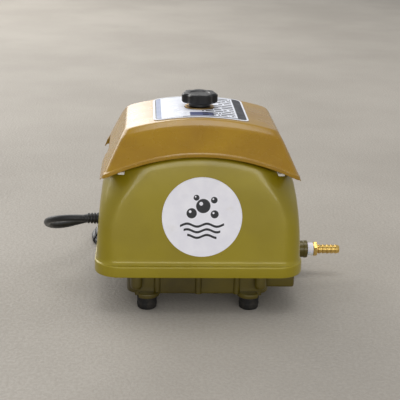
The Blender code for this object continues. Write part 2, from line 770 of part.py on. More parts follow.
def make_armature():
    """The sliding rod with its two magnets, and the hub and nut that clamp each diaphragm."""
    at = (0, 0, AXIS_Z)
    rod = box("magnet_rod", (-0.048, -0.0035, -0.011), (0.048, 0.0035, 0.011), "natural_plastic", at)
    join(rod, cylinder("rod_ends", 0.003, (-0.0625, 0, AXIS_Z), (0.0625, 0, AXIS_Z), segments=14))
    for name, side in (("left", -1), ("right", 1)):
        window = sorted((side * 0.0045, side * 0.0185))
        cut(rod, box(f"window_{name}", (window[0], -0.01, -0.009), (window[1], 0.01, 0.009), at=at))
        low = (window[0] + GAP, -0.0032, -0.009 + GAP)
        high = (window[1] - GAP, 0.0032, 0.009 - GAP)
        bevel(box(f"magnet_{name}", low, high, "ferrite", at), 0.0006, 1)
        hub = [(0.0122, 0.0577), (0.0122, 0.0530), (0.0034, 0.0530), (0.0034, 0.0577)]
        nut = [(0.0058, 0.0618), (0.0058, 0.0581), (0.0038, 0.0581), (0.0038, 0.0618)]
        for part, profile, steps in (("hub", hub, 28), ("nut", nut, 6)):
            material = "steel" if part == "nut" else "natural_plastic"
            piece = turned(f"diaphragm_{part}_{name}", profile, material, at, steps, True, True)
            piece.rotation_euler.y *= side


def make_heads():
    """At each end a diaphragm, the head behind it, the head's cover, and the boot to the tank."""
    for name, side in (("left", -1), ("right", 1)):
        at = (0, 0, AXIS_Z)
        start = DIAPHRAGM_X
        profile = [
            (0.0335, start + 0.0020),
            (0.0335, start),
            (0.0270, start),
            (0.0235, start - 0.0022),
            (0.0195, start - 0.0022),
            (0.0160, start),
            (0.0126, start),
            (0.0126, start + 0.0020),
            (0.0168, start + 0.0020),
            (0.0198, start - 0.0004),
            (0.0232, start - 0.0004),
            (0.0262, start + 0.0020),
        ]
        diaphragm = turned(f"diaphragm_{name}", profile, "black_rubber", at, 20, True, True)
        diaphragm.rotation_euler.y *= side
        make_head(name, side)
        ends = sorted((side * (HEAD_END + GAP), side * (HEAD_END + 0.0028)))
        slab(f"head_cover_{name}", head_outline(), *ends, "steel", upright="X")
        boot = [
            (0.0062, HEAD_LOW - GAP),
            (0.0050, 0.0555),
            (0.0062, 0.0530),
            (0.0062, TANK_PLATE_HIGH + GAP),
            (0.0034, TANK_PLATE_HIGH + GAP),
            (0.0034, HEAD_LOW - GAP),
        ]
        turned(f"head_boot_{name}", boot, "black_rubber", (side * BOOT_X, 0, 0), 16, True)


def head_outline():
    half = (HEAD_HIGH - HEAD_LOW) / 2
    return [(y, z + HEAD_LOW + half) for y, z in rounded_outline(HEAD_Y, half, 0.006, 3)]


def make_head(name, side):
    """The head: a round chamber towards the diaphragm, and an inlet over an outlet chamber."""
    ends = sorted((side * HEAD_X, side * HEAD_END))
    head = slab(f"head_{name}", head_outline(), *ends, "natural_plastic", upright="X")
    start = (side * (HEAD_X - 0.005), 0, AXIS_Z)
    end = (side * VALVE_PLATE_X, 0, AXIS_Z)
    cut(head, cylinder(f"chamber_{name}", 0.030, start, end, segments=32))
    pocket = sorted((side * (VALVE_PLATE_X + 0.0025), side * 0.09))
    cut(head, box(f"inlet_pocket_{name}", (pocket[0], -0.032, 0.0955), (pocket[1], 0.032, 0.126)))
    cut(head, box(f"outlet_pocket_{name}", (pocket[0], -0.032, 0.062), (pocket[1], 0.032, 0.0925)))
    for label, z in (("inlet", 0.1080), ("outlet", 0.0800)):
        start = (side * 0.060, 0, z)
        cut(head, cylinder(f"{label}_port_{name}", 0.0035, start, (side * 0.075, 0, z), segments=14))
    x = side * BOOT_X
    cut(head, cylinder(f"outlet_way_{name}", 0.0034, (x, 0, 0.05), (x, 0, 0.07), segments=14))
    cut(head, cylinder(f"inlet_way_{name}", 0.0034, (x, 0, 0.12), (x, 0, 0.14), segments=14))


def make_valve_flaps():
    """A rubber flap over each port. Each has its origin on its hinge line."""
    half = 0.0006
    for name, side in (("left", -1), ("right", 1)):
        inlet_x = side * (VALVE_PLATE_X - GAP - half)
        outlet_x = side * (VALVE_PLATE_X + 0.0025 + GAP + half)
        inlet_at = (inlet_x, 0, INLET_FLAP_Z)
        box(f"inlet_flap_{name}", (-half, -0.006, 0), (half, 0.006, 0.013), "black_rubber", inlet_at)
        outlet_at = (outlet_x, 0, OUTLET_FLAP_Z)
        low = (-half, -0.006, -0.013)
        box(f"outlet_flap_{name}", low, (half, 0.006, 0), "black_rubber", outlet_at)


# The badge, the cord and what is on it


def make_front_badge():
    """A thin round badge that follows the casing's front."""
    rings = []
    for radius in (BADGE_RADIUS, BADGE_RADIUS * 0.7, BADGE_RADIUS * 0.35):
        angles = [2 * math.pi * i / 32 for i in range(32)]
        rings.append([(radius * math.cos(a), 0, radius * math.sin(a)) for a in angles])
    bm = loft(rings, closed_start=False)
    for vert in bm.verts:
        x = vert.co.x + BADGE_X
        z = vert.co.z + BADGE_Z
        _, depth, _ = wall_at(casing_height_before_arch(x, z))
        vert.co = (x, -depth - GAP, z)
    badge = add_object("front_badge", mesh_from(bm, "front_badge"), "white_label")
    thick = badge.modifiers.new("thickness", "SOLIDIFY")
    thick.thickness = 0.0005
    thick.offset = 1


def relief_profile():
    """The strain relief: a locking shoulder inside the wall, then ribs that get smaller."""
    wall_outside = 0.1128
    points = [(0, 0.1045), (0.0068, 0.1045), (0.0072, 0.1053), (0.0072, 0.1086)]
    points += [(0.0056, 0.1086), (0.0056, wall_outside + GAP)]
    first = wall_outside + GAP
    pitch = (0.1275 - first) / 4
    for rib in range(4):
        radius = 0.0066 - 0.0002 * rib
        at = first + rib * pitch
        points += [(radius, at), (radius, at + pitch * 0.6)]
        points += [(radius - 0.0012, at + pitch * 0.75), (radius - 0.0012, at + pitch)]
    points += [(0.0047, 0.1283), (0.0045, -CORD_EXIT_X), (0, -CORD_EXIT_X)]
    return [(radius, -x) for radius, x in points]


def smooth_route(points, spacing):
    """Points at an even spacing along a smooth curve through the given ones."""
    points = [Vector(p) for p in points]
    padded = [2 * points[0] - points[1], *points, 2 * points[-1] - points[-2]]
    fine = []
    for before, start, end, after in zip(padded, padded[1:], padded[2:], padded[3:]):
        for step in range(24):
            t = step / 24
            along = (
                2 * start
                + (end - before) * t
                + (2 * before - 5 * start + 4 * end - after) * t * t
                + (3 * start - before - 3 * end + after) * t * t * t
            )
            fine.append(along / 2)
    fine.append(points[-1])
    lengths = [0.0]
    for a, b in zip(fine, fine[1:]):
        lengths.append(lengths[-1] + (b - a).length)
    count = max(2, round(lengths[-1] / spacing) + 1)
    even = []
    index = 0
    for place in steps_between(0, lengths[-1], count):
        while index < len(fine) - 2 and lengths[index + 1] < place:
            index += 1
        share = (place - lengths[index]) / (lengths[index + 1] - lengths[index])
        even.append(fine[index].lerp(fine[index + 1], min(share, 1)))
    return even


# From the strain relief round a sagging bend, back behind the casing and down to the coil
CORD_ROUTE = [
    (CORD_EXIT_X - GAP, 0.0, CORD_Z),
    (-0.1400, 0.0000, 0.0811),
    (-0.1510, 0.0010, 0.0806),
    (-0.1620, 0.0055, 0.0782),
    (-0.1710, 0.0145, 0.0735),
    (-0.1758, 0.0280, 0.0662),
    (-0.1745, 0.0425, 0.0586),
    (-0.1675, 0.0565, 0.0525),
    (-0.1560, 0.0705, 0.0490),
    (-0.1430, 0.0870, 0.0470),
    (-0.1325, 0.1070, 0.0430),
    (-0.1255, 0.1280, 0.0365),
    (-0.1210, 0.1500, 0.0285),
    (-0.1145, 0.1730, 0.0222),
    (-0.1041, 0.1945, 0.0195),
    (-0.0955, 0.2021, 0.0194),
]


def tube(name, points, radius, material):
    curve = bpy.data.curves.new(name, "CURVE")
    curve.dimensions = "3D"
    curve.bevel_depth = radius
    curve.bevel_resolution = 2
    curve.use_fill_caps = True
    spline = curve.splines.new("POLY")
    spline.points.add(len(points) - 1)
    for point, place in zip(spline.points, points):
        point.co = (*place, 1)
    return add_object(name, mesh_of_curve(name, curve), material)


def make_cord():
    """The strain relief, the lead inside the casing, and the loose cord with its coil and plug."""
    turned("strain_relief", relief_profile(), "black_plastic", (0, 0, CORD_Z), 14, along_x=True)
    inside = [(-0.1040, 0, CORD_Z), (-0.0975, 0, CORD_Z), (-0.0955, 0.010, 0.0804)]
    inside += [(-0.0952, 0.018, 0.0780), (-0.0950, 0.028, 0.0722), (-0.0950, 0.034, 0.0637)]
    tube("inner_lead", smooth_route(inside, 0.005), 0.0035, "black_plastic")
    tube("power_cord", smooth_route(CORD_ROUTE, 0.009), CORD_RADIUS, "black_plastic")
    half_wide = 3 * CORD_RADIUS
    high = 0.0150
    profile = [
        (COIL_MIDDLE + half_wide - 0.0040, high),
        (COIL_MIDDLE + half_wide, 0.0070),
        (COIL_MIDDLE + half_wide, 0.0010),
        (COIL_MIDDLE + half_wide - 0.0010, 0.0001),
        (COIL_MIDDLE - half_wide + 0.0010, 0.0001),
        (COIL_MIDDLE - half_wide, 0.0010),
        (COIL_MIDDLE - half_wide, 0.0070),
        (COIL_MIDDLE - half_wide + 0.0040, high),
    ]
    turned("cord_coil", profile, "black_plastic", (COIL_X, COIL_Y, 0), 30, True)
    make_terminal_block()
    make_plug()


def make_terminal_block():
    """The block that joins the lead to the coils, standing on the tank's plate."""
    low = TANK_PLATE_HIGH + GAP
    block = box("terminal_block", (-0.101, 0.026, low), (-0.089, 0.050, 0.0615), "natural_plastic")
    bevel(block, 0.001, 1)


def make_plug():
    """A moulded plug with two flat blades and a round earth pin, lying beside the coil."""
    outline = rounded_outline(0.0125, 0.0125, 0.005, 4)
    sections = [
        (0.0000, 0.36),
        (0.0220, 0.48),
        (0.0260, 0.80),
        (0.0300, 0.98),
        (0.0560, 1.00),
        (0.0580, 0.94),
    ]
    rings = [[(along, y * size, z * size) for y, z in outline] for along, size in sections]
    plug = add_object("power_plug", mesh_from(loft(rings), "power_plug"), "black_plastic")
    face = 0.0575
    pins = []
    for side in (-1, 1):
        y = side * 0.00635
        low = (face - 0.002, y - 0.00075, 0.0005)
        high = (face + 0.0160, y + 0.00075, 0.0069)
        pins.append(box(f"blade_{side}", low, high))
    start = (face - 0.002, 0, -0.0070)
    pins.append(cylinder("earth_pin", 0.0024, start, (face + 0.0190, 0, -0.0070), segments=12))
    join(plug, *pins)
    for piece in (plug, *pins):
        piece.location = (PLUG_X, PLUG_Y, PLUG_Z)
        piece.rotation_euler.z = math.radians(PLUG_TURN)


make_upper_housing()
make_filter_cover()
make_rating_label()
make_filter_felt()
make_cover_pads()
make_knob()
make_base_tank()
make_gasket_and_plate()
make_feet()
make_case_screws()
make_outlet()
make_motor_frame()
make_isolators()
make_cores_and_coils()
make_armature()
make_heads()
make_valve_flaps()
make_front_badge()
make_cord()
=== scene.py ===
"""The looks of the pond air pump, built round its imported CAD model.

The casing, cover, tank, knob, washer, badge, label, outlet, feet, felt, pads and cord are made
again here with a fine surface. The rest keeps its CAD mesh. Lengths are in metres. Every fine
piece is built in the casing's own frame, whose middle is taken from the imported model, and rides on
its CAD body.
"""

import json
import math

import bmesh
import bpy
from mathutils import Matrix, Vector, noise


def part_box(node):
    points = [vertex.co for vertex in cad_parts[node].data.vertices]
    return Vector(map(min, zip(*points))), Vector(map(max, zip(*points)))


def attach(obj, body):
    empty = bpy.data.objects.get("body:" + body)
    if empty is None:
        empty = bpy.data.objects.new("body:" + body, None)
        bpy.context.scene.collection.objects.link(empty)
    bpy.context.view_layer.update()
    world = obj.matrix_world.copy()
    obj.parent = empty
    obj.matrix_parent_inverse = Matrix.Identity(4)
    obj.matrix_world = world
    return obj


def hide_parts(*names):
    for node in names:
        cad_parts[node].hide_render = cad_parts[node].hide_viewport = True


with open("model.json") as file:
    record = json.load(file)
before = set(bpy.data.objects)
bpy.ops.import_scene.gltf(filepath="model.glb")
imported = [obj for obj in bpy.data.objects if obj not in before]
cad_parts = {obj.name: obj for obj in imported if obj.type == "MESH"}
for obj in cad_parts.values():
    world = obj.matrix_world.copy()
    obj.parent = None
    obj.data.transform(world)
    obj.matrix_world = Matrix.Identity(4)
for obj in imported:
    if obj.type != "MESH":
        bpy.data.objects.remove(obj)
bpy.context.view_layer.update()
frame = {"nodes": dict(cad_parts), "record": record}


def middle(node):
    low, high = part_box(node)
    return (low + high) / 2


# Places and sizes, from the frame
BODY = Vector((middle("upper_housing").x, 0, 0))
HOUSING_LOW, HOUSING_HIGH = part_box("upper_housing")
BADGE = middle("front_badge") - BODY
BADGE_LOW, BADGE_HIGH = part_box("front_badge")
BADGE_RADIUS = (BADGE_HIGH.x - BADGE_LOW.x) / 2
OUTLET = middle("hose_barb") - BODY
GAP = 0.0003
FLANGE_X = (HOUSING_HIGH.x - HOUSING_LOW.x) / 2
FLANGE_Y = (HOUSING_HIGH.y - HOUSING_LOW.y) / 2
FLANGE_LOW = HOUSING_LOW.z
FLANGE_HIGH = 0.0554
COVER_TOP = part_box("filter_cover")[1].z

# The casing and cover, as in the CAD
CASING_TOP = 0.1728
CASING_ARCH = 2.45
CASING_WALL = 0.0035
COLLAR_TOP = 0.1788
DECK_HIGH = 0.152
DECK_LOW = 0.149
COVER_LOW = 0.1785
COVER_ARCH_TOP = 1.8
COVER_ARCH_LOW = 2.3
COVER_WALL = 0.0025
SKIRT_TOP, SKIRT_HALF, SKIRT_DROP = 0.1803, 0.080, 0.0045
PLATE_HIGH = 0.0504
CORD_Z = middle("strain_relief").z
CORD_RADIUS = 0.004
COIL = middle("cord_coil") - BODY

# Half sizes of the label, and where the feet and the case screws stand
LABEL_X, LABEL_Y, LABEL_CORNER = 0.052, 0.054, 0.009
FOOT_AT = (0.0572, 0.0686)
SCREW_AT = (0.069, 0.075)

# Half width, half depth and corner radius of the casing's outside at each height
WALL_ROWS = [
    (0.0590, 0.1135, 0.0830, 0.0240), (0.0750, 0.1131, 0.0812, 0.0225),
    (0.1000, 0.1121, 0.0783, 0.0210), (0.1200, 0.1109, 0.0757, 0.0230),
    (0.1400, 0.1094, 0.0730, 0.0300), (0.1550, 0.1077, 0.0706, 0.0400),
    (0.1688, 0.1053, 0.0680, 0.0480),
]


def four_corners(x, y):
    return [(side_x * x, side_y * y) for side_x in (-1, 1) for side_y in (-1, 1)]


def polar(radius, angle):
    return radius * math.cos(angle), radius * math.sin(angle)


def angles(count):
    return [2 * math.pi * i / count for i in range(count)]


# Camera


def make_camera():
    """A short telephoto lens a little over a metre away, looking down on the front."""
    yaw, pitch, roll = 0.0578914, 0.3081262, 0.0257514
    forward = Vector(
        (math.sin(yaw) * math.cos(pitch), math.cos(yaw) * math.cos(pitch), -math.sin(pitch))
    )
    level = Vector((math.cos(yaw), -math.sin(yaw), 0))
    upright = level.cross(forward)
    right = math.cos(roll) * level + math.sin(roll) * upright
    above = math.cos(roll) * upright - math.sin(roll) * level
    turn = Matrix((right, above, -forward)).transposed().to_4x4()
    data = bpy.data.cameras.new("camera")
    data.sensor_width = 36
    data.lens = 92.41
    camera = bpy.data.objects.new("camera", data)
    camera.matrix_world = Matrix.Translation(BODY + Vector((-0.062135, -1.131757, 0.46486))) @ turn
    bpy.context.scene.collection.objects.link(camera)
    bpy.context.scene.camera = camera


make_camera()


# Materials


class Shader:
    """A node material, with short ways to add the nodes that these surfaces are made of."""

    def __init__(self, name, **values):
        self.material = bpy.data.materials.new(name)
        self.material.use_nodes = True
        self.tree = self.material.node_tree
        self.principled = self.tree.nodes["Principled BSDF"]
        self.coordinates = self.add("ShaderNodeTexCoord").outputs["Object"]
        for key, value in values.items():
            self.principled.inputs[key.replace("_", " ")].default_value = value

    def add(self, kind, **settings):
        node = self.tree.nodes.new(kind)
        for key, value in settings.items():
            setattr(node, key, value)
        return node

    def feed(self, value, socket):
        """Link a node's output, or set a plain number or colour."""
        if isinstance(value, bpy.types.NodeSocket):
            self.tree.links.new(value, socket)
        else:
            socket.default_value = value

    def math(self, operation, first, second=0.0):
        node = self.add("ShaderNodeMath", operation=operation)
        self.feed(first, node.inputs[0])
        self.feed(second, node.inputs[1])
        return node.outputs[0]

    def times(self, first, second):
        return self.math("MULTIPLY", first, second)

    def noise(self, scale, detail=3.0, roughness=0.55, stretch=(1, 1, 1), distortion=0.0):
        node = self.add("ShaderNodeTexNoise")
        values = (self.stretched(stretch), scale, detail, roughness, distortion)
        for name, value in zip(("Vector", "Scale", "Detail", "Roughness", "Distortion"), values):
            self.feed(value, node.inputs[name])
        return node.outputs["Fac"]

    def stretched(self, stretch):
        if tuple(stretch) == (1, 1, 1):
            return self.coordinates
        node = self.add("ShaderNodeMapping")
        self.feed(self.coordinates, node.inputs["Vector"])
        node.inputs["Scale"].default_value = stretch
        return node.outputs["Vector"]

    def ramp(self, value, low, high, out_low=0.0, out_high=1.0):
        """Map low..high onto out_low..out_high smoothly, held at the ends."""
        node = self.add("ShaderNodeMapRange", clamp=True, interpolation_type="SMOOTHSTEP")
        for index, number in enumerate((value, low, high, out_low, out_high)):
            self.feed(number, node.inputs[index])
        return node.outputs[0]

    def cloud(self, scale, detail, low, high, *out, **settings):
        """Noise, with low..high mapped onto 0..1, or onto the two numbers in out."""
        return self.ramp(self.noise(scale, detail, **settings), low, high, *out)

    def mix(self, share, first, second):
        node = self.add("ShaderNodeMix", data_type="RGBA")
        self.feed(share, node.inputs["Factor"])
        self.feed(first, node.inputs[6])
        self.feed(second, node.inputs[7])
        return node.outputs[2]

    def tint(self, tone, share, amount, colour):
        """Lay a colour over tone, as strongly as share times amount."""
        return self.mix(self.times(share, amount), tone, srgb(*colour))

    def bump(self, height, distance):
        """Add a bump. A later one goes on top of an earlier one."""
        node = self.add("ShaderNodeBump")
        node.inputs["Strength"].default_value = 1.0
        node.inputs["Distance"].default_value = distance
        self.feed(height, node.inputs["Height"])
        before = self.principled.inputs["Normal"].links
        if before:
            self.feed(before[0].from_socket, node.inputs["Normal"])
        self.feed(node.outputs[0], self.principled.inputs["Normal"])

    def surface(self, tone, rough, *bumps):
        """The finished material: its colour, its roughness and its (height, distance) bumps."""
        self.feed(tone, self.principled.inputs["Base Color"])
        self.feed(rough, self.principled.inputs["Roughness"])
        for height, distance in bumps:
            self.bump(height, distance)
        return self.material

    def parts(self, vector):
        node = self.add("ShaderNodeSeparateXYZ")
        self.feed(vector, node.inputs[0])
        return node.outputs

    def xyz(self):
        return self.parts(self.coordinates)

    def upward(self):
        """How far the surface faces up, from -1 to 1."""
        return self.parts(self.add("ShaderNodeNewGeometry").outputs["Normal"])[2]


def srgb(red, green, blue):
    """A colour given as it looks on screen, from 0 to 255, in linear values."""
    return tuple((value / 255) ** 2.2 for value in (red, green, blue)) + (1.0,)


def olive_paint(name, light, dark):
    """Glossy paint on a casting: a faint orange peel, uneven colour, dust on what faces up."""
    s = Shader(name, Metallic=0.2, Coat_Weight=0.35, Coat_Roughness=0.14)
    tone = s.mix(s.cloud(14, 4, 0.3, 0.7), srgb(*dark), srgb(*light))
    tone = s.tint(tone, s.cloud(520, 2, 0.68, 0.74), 0.3, (96, 84, 8))
    dust = s.times(s.ramp(s.upward(), 0.5, 1.0), s.cloud(60, 5, 0.35, 0.75))
    tone = s.tint(tone, dust, 0.2, (176, 164, 100))
    rough = s.cloud(38, 4, 0.3, 0.75, 0.36, 0.46)
    return s.surface(tone, rough, (s.noise(420, 2), 0.00005), (s.noise(60, 2), 0.00008))


def tan_plastic():
    """Glossy moulded plastic: slightly translucent, with flow marks and hairline scuffs."""
    s = Shader("tan_plastic", Subsurface_Weight=0.06, Subsurface_Scale=0.004, Coat_Weight=0.15)
    s.principled.inputs["Subsurface Radius"].default_value = (1.0, 0.6, 0.25)
    s.principled.inputs["Coat Roughness"].default_value = 0.1
    flow = s.cloud(11, 4, 0.3, 0.72, stretch=(1, 1, 2.2), distortion=0.6)
    tone = s.mix(flow, srgb(146, 108, 0), srgb(160, 122, 4))
    tone = s.tint(tone, s.cloud(55, 5, 0.62, 0.80, distortion=0.4), 0.22, (120, 86, 22))
    scuff = s.cloud(240, 2, 0.66, 0.72, stretch=(1, 9, 1))
    tone = s.tint(tone, scuff, 0.18, (206, 180, 110))
    rough = s.math("ADD", s.cloud(30, 4, 0.3, 0.75, 0.24, 0.34), s.times(scuff, 0.1))
    return s.surface(tone, rough, (s.noise(650, 2), 0.00005), (s.noise(26, 2), 0.0002))


def black_plastic(name, tone, shine, grain, sheen=0.0):
    """Moulded black plastic or cord jacket, with a fine grain and dust."""
    s = Shader(name, Sheen_Weight=sheen)
    dust = s.times(s.ramp(s.upward(), 0.2, 1.0), s.cloud(150, 4, 0.4, 0.8))
    base = s.mix(s.cloud(90, 3, 0.35, 0.7), srgb(*tone), srgb(*(t + 7 for t in tone)))
    tone = s.tint(base, dust, 0.08, (120, 116, 108))
    rough = s.cloud(200, 3, 0.3, 0.7, shine, shine + 0.12)
    return s.surface(tone, rough, (s.noise(grain, 2), 0.00008))


def mottled(name, first, second, patch, rough, grain, share=1.0, stretch=(1, 1, 1), **values):
    """Patches of a second tone on a first, under an uneven roughness and a fine grain.

    patch and rough are the numbers of a cloud, and grain is a noise's scale, detail and depth.
    """
    s = Shader(name, **values)
    tone = s.tint(srgb(*first), s.cloud(*patch), share, second)
    scale, detail, depth = grain
    uneven = s.cloud(*rough, stretch=stretch)
    return s.surface(tone, uneven, (s.noise(scale, detail, stretch=stretch), depth))


def steel(name, tone, shine, stretch):
    """Plated or rolled steel with its grain along one way."""
    dull = [t - 22 for t in tone]
    rough = (320, 3, 0.3, 0.7, shine, shine + 0.18)
    patch, grain = (70, 4, 0.35, 0.7), (700, 2, 0.00005)
    return mottled(name, tone, dull, patch, rough, grain, stretch=stretch, Metallic=1.0)


def brass():
    """Turned brass: rings left by the tool, a slight tarnish."""
    s = Shader("brass", Metallic=1.0)
    tone = s.tint(srgb(228, 192, 112), s.cloud(160, 4, 0.4, 0.75), 0.5, (176, 132, 66))
    rings = s.noise(900, 2, stretch=(4, 0.2, 0.2))
    return s.surface(tone, s.cloud(260, 3, 0.3, 0.7, 0.24, 0.34), (rings, 0.000004))


def laminations():
    """A stack of thin sheets, seen on edge as fine lines across Z."""
    s = Shader("laminations", Metallic=0.8)
    line = s.math("PINGPONG", s.times(s.xyz()[2], 2000.0), 0.5)
    tone = s.mix(s.ramp(line, 0.02, 0.16), srgb(40, 40, 44), srgb(118, 120, 126))
    return s.surface(tone, s.cloud(180, 3, 0.3, 0.7, 0.36, 0.55), (line, 0.0001))


def copper():
    """Enamelled wire in close turns that run round the coil."""
    s = Shader("copper", Metallic=0.85, Coat_Weight=0.4)
    turns = s.math("PINGPONG", s.times(s.xyz()[1], 1400.0), 0.5)
    tone = s.mix(s.ramp(turns, 0.05, 0.4), srgb(110, 48, 24), srgb(206, 118, 66))
    return s.surface(tone, s.cloud(240, 3, 0.3, 0.7, 0.25, 0.4), (turns, 0.0003))


def foam():
    """Open-celled sealing foam: small round pits."""
    s = Shader("sealing_foam")
    cells = s.add("ShaderNodeTexVoronoi")
    s.feed(s.coordinates, cells.inputs["Vector"])
    s.feed(1400.0, cells.inputs["Scale"])
    near = cells.outputs["Distance"]
    tone = s.mix(s.ramp(near, 0.1, 0.6), srgb(168, 164, 152), srgb(238, 236, 228))
    return s.surface(tone, s.cloud(120, 3, 0.3, 0.7, 0.8, 0.95), (near, 0.0003))


def felt():
    """Needled filter felt: tangled fibres, grey with the dust it has caught."""
    s = Shader("filter_felt", Sheen_Weight=0.5, Sheen_Roughness=0.6)
    fibres = s.noise(900, 4, 0.7, stretch=(1, 0.25, 1), distortion=1.5)
    crossing = s.noise(900, 4, 0.7, stretch=(0.25, 1, 1), distortion=1.5)
    tangle = s.math("MAXIMUM", fibres, crossing)
    tone = s.mix(s.ramp(tangle, 0.4, 0.75), srgb(150, 148, 138), srgb(226, 224, 214))
    tone = s.tint(tone, s.cloud(24, 5, 0.35, 0.8), 0.35, (140, 130, 108))
    return s.surface(tone, s.ramp(tangle, 0.3, 0.8, 0.85, 1.0), (tangle, 0.0007))


def thread_tape():
    """White tape wound on the thread: overlapping edges and small creases."""
    s = Shader("thread_tape", Subsurface_Weight=0.15, Subsurface_Scale=0.002)
    winding = s.math("PINGPONG", s.times(s.xyz()[0], 520.0), 0.5)
    crease = s.noise(420, 3, stretch=(3, 1, 1))
    tone = s.mix(s.ramp(crease, 0.3, 0.7), srgb(226, 226, 238), srgb(250, 250, 255))
    rough = s.ramp(crease, 0.3, 0.7, 0.42, 0.6)
    return s.surface(tone, rough, (s.math("ADD", winding, crease), 0.0002))


def within(s, value, low, high, edge=0.0002):
    """1 where value is between low and high, with a soft edge."""
    start = s.ramp(value, low - edge, low + edge)
    end = s.ramp(value, high - edge, high + edge, 1.0, 0.0)
    return s.times(start, end)


def away_from(s, first, second, radius):
    """How far the point (first, second) lies outside a circle round zero."""
    squares = s.math("ADD", s.times(first, first), s.times(second, second))
    return s.math("SUBTRACT", s.math("SQRT", squares), radius)


def rounded_box(s, x, y, half_x, half_y, radius):
    """The distance from the edge of a rounded rectangle, negative inside."""
    out = []
    for value, half in ((x, half_x), (y, half_y)):
        past = s.math("SUBTRACT", s.math("ABSOLUTE", value), half - radius)
        out.append(s.math("MAXIMUM", past, 0.0))
    return away_from(s, *out, radius)


def lines_like_print(s, x, y, pitch, word, seed):
    """Rows of short dark dashes of uneven length, where a label has small print."""
    row = s.times(y, 1 / pitch)
    place = s.add("ShaderNodeCombineXYZ")
    s.feed(s.times(x, 1 / word), place.inputs[0])
    s.feed(s.math("ADD", s.times(s.math("FLOOR", row), 7.31), seed), place.inputs[1])
    words = s.add("ShaderNodeTexNoise")
    s.feed(place.outputs[0], words.inputs["Vector"])
    s.feed(1.0, words.inputs["Scale"])
    s.feed(1.0, words.inputs["Detail"])
    dashes = s.ramp(words.outputs["Fac"], 0.40, 0.44)
    return s.times(dashes, within(s, s.math("FRACT", row), 0.3, 0.75, 0.08))


def rating_print():
    """The label on the cover: a frame line, a strip at each end, and rows of greeked print."""
    s = Shader("rating_print", Specular_IOR_Level=0.3, Coat_Weight=0.1, Coat_Roughness=0.2)
    x, y, _ = s.xyz()
    navy = (12, 14, 34)
    edge = rounded_box(s, x, y, LABEL_X, LABEL_Y, LABEL_CORNER)
    inner = s.math("LESS_THAN", edge, -0.0030)
    tone = s.mix(s.cloud(70, 3, 0.3, 0.7), srgb(228, 231, 240), srgb(240, 242, 250))
    tone = s.tint(tone, s.math("LESS_THAN", x, -0.0430), inner, (118, 132, 166))
    tone = s.tint(tone, s.math("GREATER_THAN", x, 0.0400), inner, navy)
    block = s.times(within(s, x, -0.012, 0.014), within(s, y, -0.047, -0.030))
    tone = s.tint(tone, block, 0.9, (52, 62, 110))
    area = s.times(within(s, x, -0.039, -0.015), within(s, y, -0.046, 0.047))
    fine = s.times(lines_like_print(s, x, y, 0.0058, 0.0055, 3.0), area)
    tone = s.tint(tone, fine, 0.25, (92, 98, 120))
    area = s.times(within(s, x, 0.002, 0.038), within(s, y, -0.047, 0.049))
    tone = s.tint(tone, lines_like_print(s, x, y, 0.0095, 0.0034, 9.0), area, navy)
    rule = s.times(s.math("LESS_THAN", s.math("PINGPONG", y, 0.0190), 0.0006), area)
    tone = s.tint(tone, rule, 0.8, navy)
    front_line = s.times(within(s, y, -0.0505, -0.0482), within(s, x, -0.02, 0.045))
    frame_line = within(s, edge, -0.0036, -0.0022)
    tone = s.mix(s.math("MAXIMUM", frame_line, front_line), tone, srgb(*navy))
    rough = s.cloud(90, 3, 0.3, 0.7, 0.3, 0.42)
    return s.surface(tone, rough, (s.noise(500, 2), 0.00003))


def badge_print():
    """A white vinyl disc with a plain sign for air in water: bubbles over waves."""
    s = Shader("badge_print", Coat_Weight=0.3, Coat_Roughness=0.2)
    x, _, z = s.xyz()
    soft = 0.00012
    wave_half, wave_pitch, swell_height = 0.0013, 0.0062, 0.0016
    ink = s.times(0.0, 0.0)
    swell = s.times(s.math("SINE", s.times(x, 290.0)), swell_height)
    for index in range(3):
        centre = s.math("ADD", swell, -0.0085 - wave_pitch * index)
        wave = within(s, s.math("SUBTRACT", z, centre), -wave_half, wave_half, soft)
        half = 0.024 - 0.004 * index
        ink = s.math("MAXIMUM", ink, s.times(wave, within(s, x, -half, half, soft)))

    def off_circle(centre_x, centre_z, radius):
        dx = s.math("SUBTRACT", x, centre_x)
        return away_from(s, dx, s.math("SUBTRACT", z, centre_z), radius)

    bubbles = [(-0.0115, 0.0045, 0.0056), (0.0010, 0.0125, 0.0078), (0.0135, 0.0035, 0.0044)]
    bubbles += [(-0.0065, 0.0215, 0.0032), (0.0128, 0.0190, 0.0036)]
    for centre_x, centre_z, radius in bubbles:
        away = off_circle(centre_x, centre_z, radius)
        ink = s.math("MAXIMUM", ink, s.ramp(away, -soft, soft, 1.0, 0.0))
        shine = off_circle(centre_x - radius * 0.3, centre_z + radius * 0.32, radius * 0.26)
        ink = s.times(ink, s.ramp(shine, -soft, soft))
    white = s.mix(s.cloud(55, 3, 0.3, 0.7), srgb(238, 237, 246), srgb(247, 246, 253))
    white = s.tint(white, s.cloud(32, 5, 0.62, 0.82), 0.25, (196, 188, 150))
    rough = s.cloud(120, 3, 0.3, 0.7, 0.34, 0.46)
    return s.surface(s.mix(ink, white, srgb(22, 24, 30)), rough, (s.noise(300, 2), 0.00006))


def floor_material():
    """Pale, matt, and only faintly uneven."""
    s = Shader("floor")
    grain = s.cloud(260, 3, 0.3, 0.7)
    tone = s.mix(s.cloud(3, 4, 0.3, 0.7), srgb(156, 150, 141), srgb(167, 161, 152))
    tone = s.tint(tone, grain, 0.2, (134, 127, 117))
    return s.surface(tone, s.ramp(grain, 0.0, 1.0, 0.7, 0.85), (grain, 0.0003))


